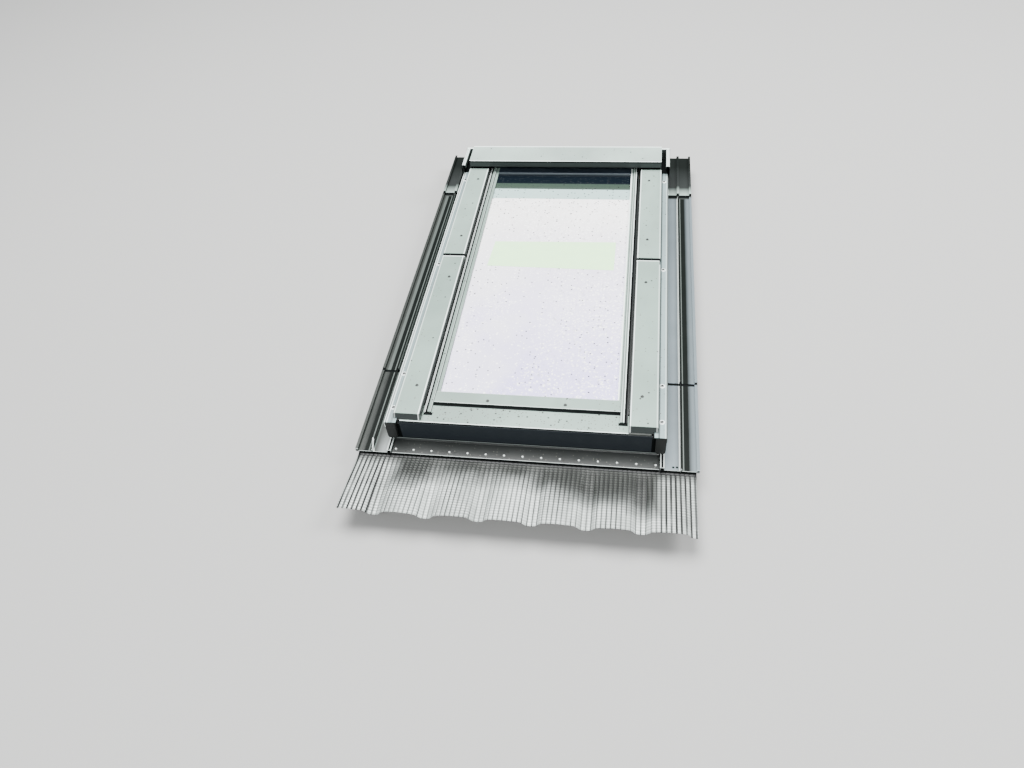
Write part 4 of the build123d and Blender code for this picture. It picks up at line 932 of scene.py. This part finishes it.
# Side beads: painted highlights on the right's inner edge and crest and on the left's rim, painted shade
# on their ledges, steps and feet and on the right's rim, and black painted shade on the floor beside them
bead_right = lacquer("bead_lacquer", LIGHT_GREY, dirt=0.12, marks=[
    (across(1, *BEAD_INNER_EDGE), EDGE_LIGHT),
    (across(1, *BEAD_STEP_RIGHT), SIDE_GREY),
    (across(1, *BEAD_FOOT_RIGHT), SIDE_GREY),
    (across(1, *BEAD_CREST_RIGHT), EDGE_LIGHT),
    (outside(1, BEAD_FLOOR_RIGHT), PAINTED_SHADE_BLACK),
    (outside(1, BEAD_RIM_RIGHT), WALL_SHADE_GREY),
])
bead_left = lacquer("left_bead_lacquer", LIGHT_GREY, dirt=0.12, marks=[
    (across(-1, *BEAD_LEDGE_LEFT), SIDE_GREY),
    (across(-1, *BEAD_STEP_LEFT), SIDE_GREY),
    (outside(-1, BEAD_FLOOR_LEFT, BEAD_FLOOR_BLUR), PAINTED_SHADE_BLACK),
    (outside(-1, BEAD_RIM_LEFT), HEM_BRIGHT),
])
# Painted shade on the bottom bead's front
bottom_bead_lacquer = lacquer("cover_lacquer", LIGHT_GREY, dirt=0.06, marks=[
    (beyond("Y", -BEAD_NOSE, -1), NOSE_GREY),
])
# The top bead is painted in the hood's shade, with a painted highlight on its front faces
top_bead_lacquer = lacquer("top_bead_lacquer", SHADE_BLUE, SHADE_BLUE, BEAD_BLUE, edge=0.0)
# Painted shade: black in the groove behind the bottom bead, at the rail's seam and below the beads' open
# ends, and grey beside the covers' fronts
rail_lacquer = lacquer("rail_lacquer", LIGHT_GREY, dirt=0.45, marks=[
    (beyond("Z", RAIL_FLANGE_TOP, -1), PAINTED_SHADE_BLACK),
    (beyond("Y", -RAIL_SEAM), PAINTED_SHADE_BLACK),
    (within(stripe("X", *BEAD_MOUTH, absolute=True), stripe("Y", *BEAD_MOUTH_LENGTH)), PAINTED_SHADE_BLACK),
    (within(beyond("X", RAIL_END), beyond("Y", -COVER_FRONT, -1)), PAINTED_SHADE_GREY),
])
# The band is painted in shade, darker near the sill, with painted highlights on its fold and hem and black
# painted shade behind it and under the hem
band_lacquer = lacquer("band_lacquer", BAND_GREY, BAND_GREY, BAND_GREY, dirt=0.15, edge=0.0, marks=[
    (slow("Y", *BAND_SHADE_END), BAND_SHADE),
    (beyond("Z", BAND_FOLD), FOLD_LIGHT),
    (beyond("Z", BAND_BACK), PAINTED_SHADE_BLACK),
    hem,
    under_hem,
])


def gutter_marks(side, welt, line, floor):
    """Painted shade growing towards the welt, welt, painted shadow on the floor outside it with a paler
    line, and plain floor at the edge.
    """
    return [
        (slow_across(side, *GUTTER_SHADE_GROWTH), PAINTED_SHADE_GREY),
        (across(side, *WELT), welt),
        (across(side, WELT[1], GUTTER_SIDE), DARK_FLOOR),
        (across(side, *line), WELT_GREY),
        (slow_across(side, *GUTTER_DARK), floor),
    ]


# The right welt has a painted highlight and the left welt painted shade
right_marks = gutter_marks(1, HEM_BRIGHT, GUTTER_LINE_RIGHT, BLUE_GREY)
left_marks = gutter_marks(-1, SIDE_GREY, GUTTER_LINE_LEFT, PAINTED_SHADE_GREY)
# Painted shadow where the top wing laps over the gutter
lap_marks = [
    (slow("Y", *TOP_LAP_SHADE_GROWTH), PAINTED_SHADE_GREY),
    (beyond("Y", TOP_LAP_SHADE), PAINTED_SHADE_BLACK),
]
gutter_right = lacquer("gutter_lacquer", BLUE_GREY, marks=right_marks + lap_marks)
# The left gutter is painted in shade all over, with painted shade darker still beside the frame and a
# paler line in it
gutter_left = lacquer("shaded_gutter_lacquer", PAINTED_SHADE_GREY, marks=left_marks + [
    (across(-1, *GUTTER_SECOND_LINE), WELT_GREY),
    (across(-1, *GUTTER_SHADE), DARK_FLOOR),
] + lap_marks)
# Painted highlight along the corner seam's top, and black painted shade in its groove, under the hem and
# at the lap
corner_marks = [
    (within(beyond("Z", SEAM_TOP), beyond("Y", -SEAM_FRONT, -1)), HEM_BRIGHT),
    (within(beyond("Z", SEAM_TOP), stripe("X", *SEAM_GROOVE, absolute=True)), PAINTED_SHADE_BLACK),
    hem,
    under_hem,
    (beyond("Y", -CORNER_LAP_SHADE), PAINTED_SHADE_BLACK),
]
# Black painted shade in the right corner's two clinch dimples
corner_right = lacquer("corner_lacquer", BLUE_GREY, marks=right_marks + corner_marks + [
    (spot(place, CLINCH_RADIUS), PAINTED_SHADE_BLACK) for place in CLINCHES])
# The left corner is painted in shade, paler silver towards its lower end, with a painted highlight along
# its curl
silver = within(slow_across(-1, *SILVER_ACROSS), slow("Y", *SILVER_DOWN), outside(-1, SILVER_SIDE))
curl = within(leaning(CURL_PLACE, CURL_LEAN, CURL_HALF), beyond("Y", -CURL_START, -1))
corner_left = lacquer("shaded_corner_lacquer", PAINTED_SHADE_GREY,
                      marks=left_marks + [(silver, SILVER), (curl, HEM_BRIGHT)] + corner_marks)
# Painted shadow on the wings' pans, growing up the slope, and black painted shade inside the hems' lower
# ends
on_pan = beyond("Z", WING_WALL, -1)
wing_lacquer = lacquer("wing_lacquer", HOOD_GREY, marks=[
    (within(on_pan, slow("Y", *WING_SHADE_GROWTH)), WING_SHADE),
    (within(on_pan, slow("Y", *WING_DARK)), DARK_FLOOR),
    (within(beyond("Z", WING_WALL), beyond("Y", WING_FRONT, -1)), PAINTED_SHADE_BLACK),
])
# The sill cover is painted charcoal all over, as the shade of its face down the slope
sill_shade_lacquer = lacquer("sill_shade_lacquer", CHARCOAL, CHARCOAL, CHARCOAL, edge=0.0)
steel = plain("zinc_steel", STEEL_GREY, roughness=0.35, metallic=0.9)
handle_metal = plain("handle_metal", HANDLE_GREY, roughness=0.28, metallic=0.9)
black_rubber = plain("black_rubber", RUBBER_BLACK, roughness=0.75)
black_plastic = plain("black_plastic", PLASTIC_BLACK, roughness=0.6)
pine_x = timber_material("pine_across", "X")
pine_y = timber_material("pine_along", "Y")

paint(hood_lacquer, "hood", "top_flashing")
paint(upper_left, "upper_cover_left")
paint(upper_right, "upper_cover_right")
paint(lower_left, "lower_cover_left")
paint(lower_right, "lower_cover_right")
paint(strip_left, "side_strip_left")
paint(strip_right, "side_strip_right")
paint(bottom_bead_lacquer, "bottom_bead")
paint(bead_left, "side_bead_left")
paint(bead_right, "side_bead_right")
paint(top_bead_lacquer, "top_bead")
paint(rail_lacquer, "rail_cover")
paint(band_lacquer, "bottom_flashing")
paint(corner_left, "corner_flashing_left")
paint(corner_right, "corner_flashing_right")
paint(gutter_left, "side_gutter_left")
paint(gutter_right, "side_gutter_right")
paint(wing_lacquer, *both("top_wing"))
paint(sill_shade_lacquer, "sill_cover")
paint(black_plastic, *both("end_cap"), "upper_cover_clips", "lower_cover_clips", "setting_blocks")
paint(steel, "latch_keeper", "bolt_bushes", "mounting_brackets", *both("hinge_frame_plate"),
      *both("hinge_sash_plate"), "bolt", "bolt_guide", "glass_spacer")
paint(screw_metal(), "frame_screws", "sash_screws")
paint(stud_metal(), "clinch_studs")
paint(handle_metal, "handle", "handle_base")
paint(black_rubber, "frame_seal", "glazing_gasket", "edge_seal")
paint(pine_x, "frame_head", "frame_sill", "sash_top_rail", "sash_bottom_rail")
paint(pine_y, *both("sash_stile"), *both("frame_jamb"))
paint(outer_glass_material(), "outer_pane")
paint(clear_glass_material(), "inner_pane")

pleated_skirt()
label_film()


# Floor, light and camera
def area_light(name, place, size, power):
    """Round lamp at a place, turned to the window's middle."""
    light = bpy.data.lights.new(name, "AREA")
    light.shape = "DISK"
    light.size = size
    light.energy = power
    lamp = bpy.data.objects.new(name, light)
    lamp.location = place
    lamp.rotation_euler = (-Vector(place)).to_track_quat("-Z", "Y").to_euler()
    bpy.context.scene.collection.objects.link(lamp)


floor_level = cad_low[2] - FLOOR_GAP
bpy.ops.mesh.primitive_plane_add(size=FLOOR_SIZE, location=(0, 0, floor_level))
floor = bpy.context.object
floor.name = "studio_floor"
floor_material, _, floor_shader = new_material("studio_floor")
floor_shader.inputs["Base Color"].default_value = (*FLOOR_COLOR, 1.0)
floor_shader.inputs["Roughness"].default_value = 0.9
floor.data.materials.append(floor_material)

world = bpy.data.worlds.new("studio")
world.use_nodes = True
backdrop = world.node_tree.nodes["Background"]
backdrop.inputs["Color"].default_value = (*SKY_COLOR, 1.0)
backdrop.inputs["Strength"].default_value = SKY_STRENGTH
bpy.context.scene.world = world
area_light("back_light", BACK_PLACE, BACK_SIZE, BACK_POWER)
area_light("side_light", SIDE_PLACE, SIDE_SIZE, SIDE_POWER)
area_light("front_light", FRONT_PLACE, FRONT_SIZE, FRONT_POWER)

camera_data = bpy.data.cameras.new("camera")
camera_data.sensor_width = SENSOR_MM
camera_data.lens = FOCAL_PIXELS * SENSOR_MM / FRAME_PIXELS
camera = bpy.data.objects.new("camera", camera_data)
camera.location = CAMERA_PLACE
camera.rotation_euler = Euler([math.radians(angle) for angle in CAMERA_TURN_DEG])
bpy.context.scene.collection.objects.link(camera)
bpy.context.scene.camera = camera
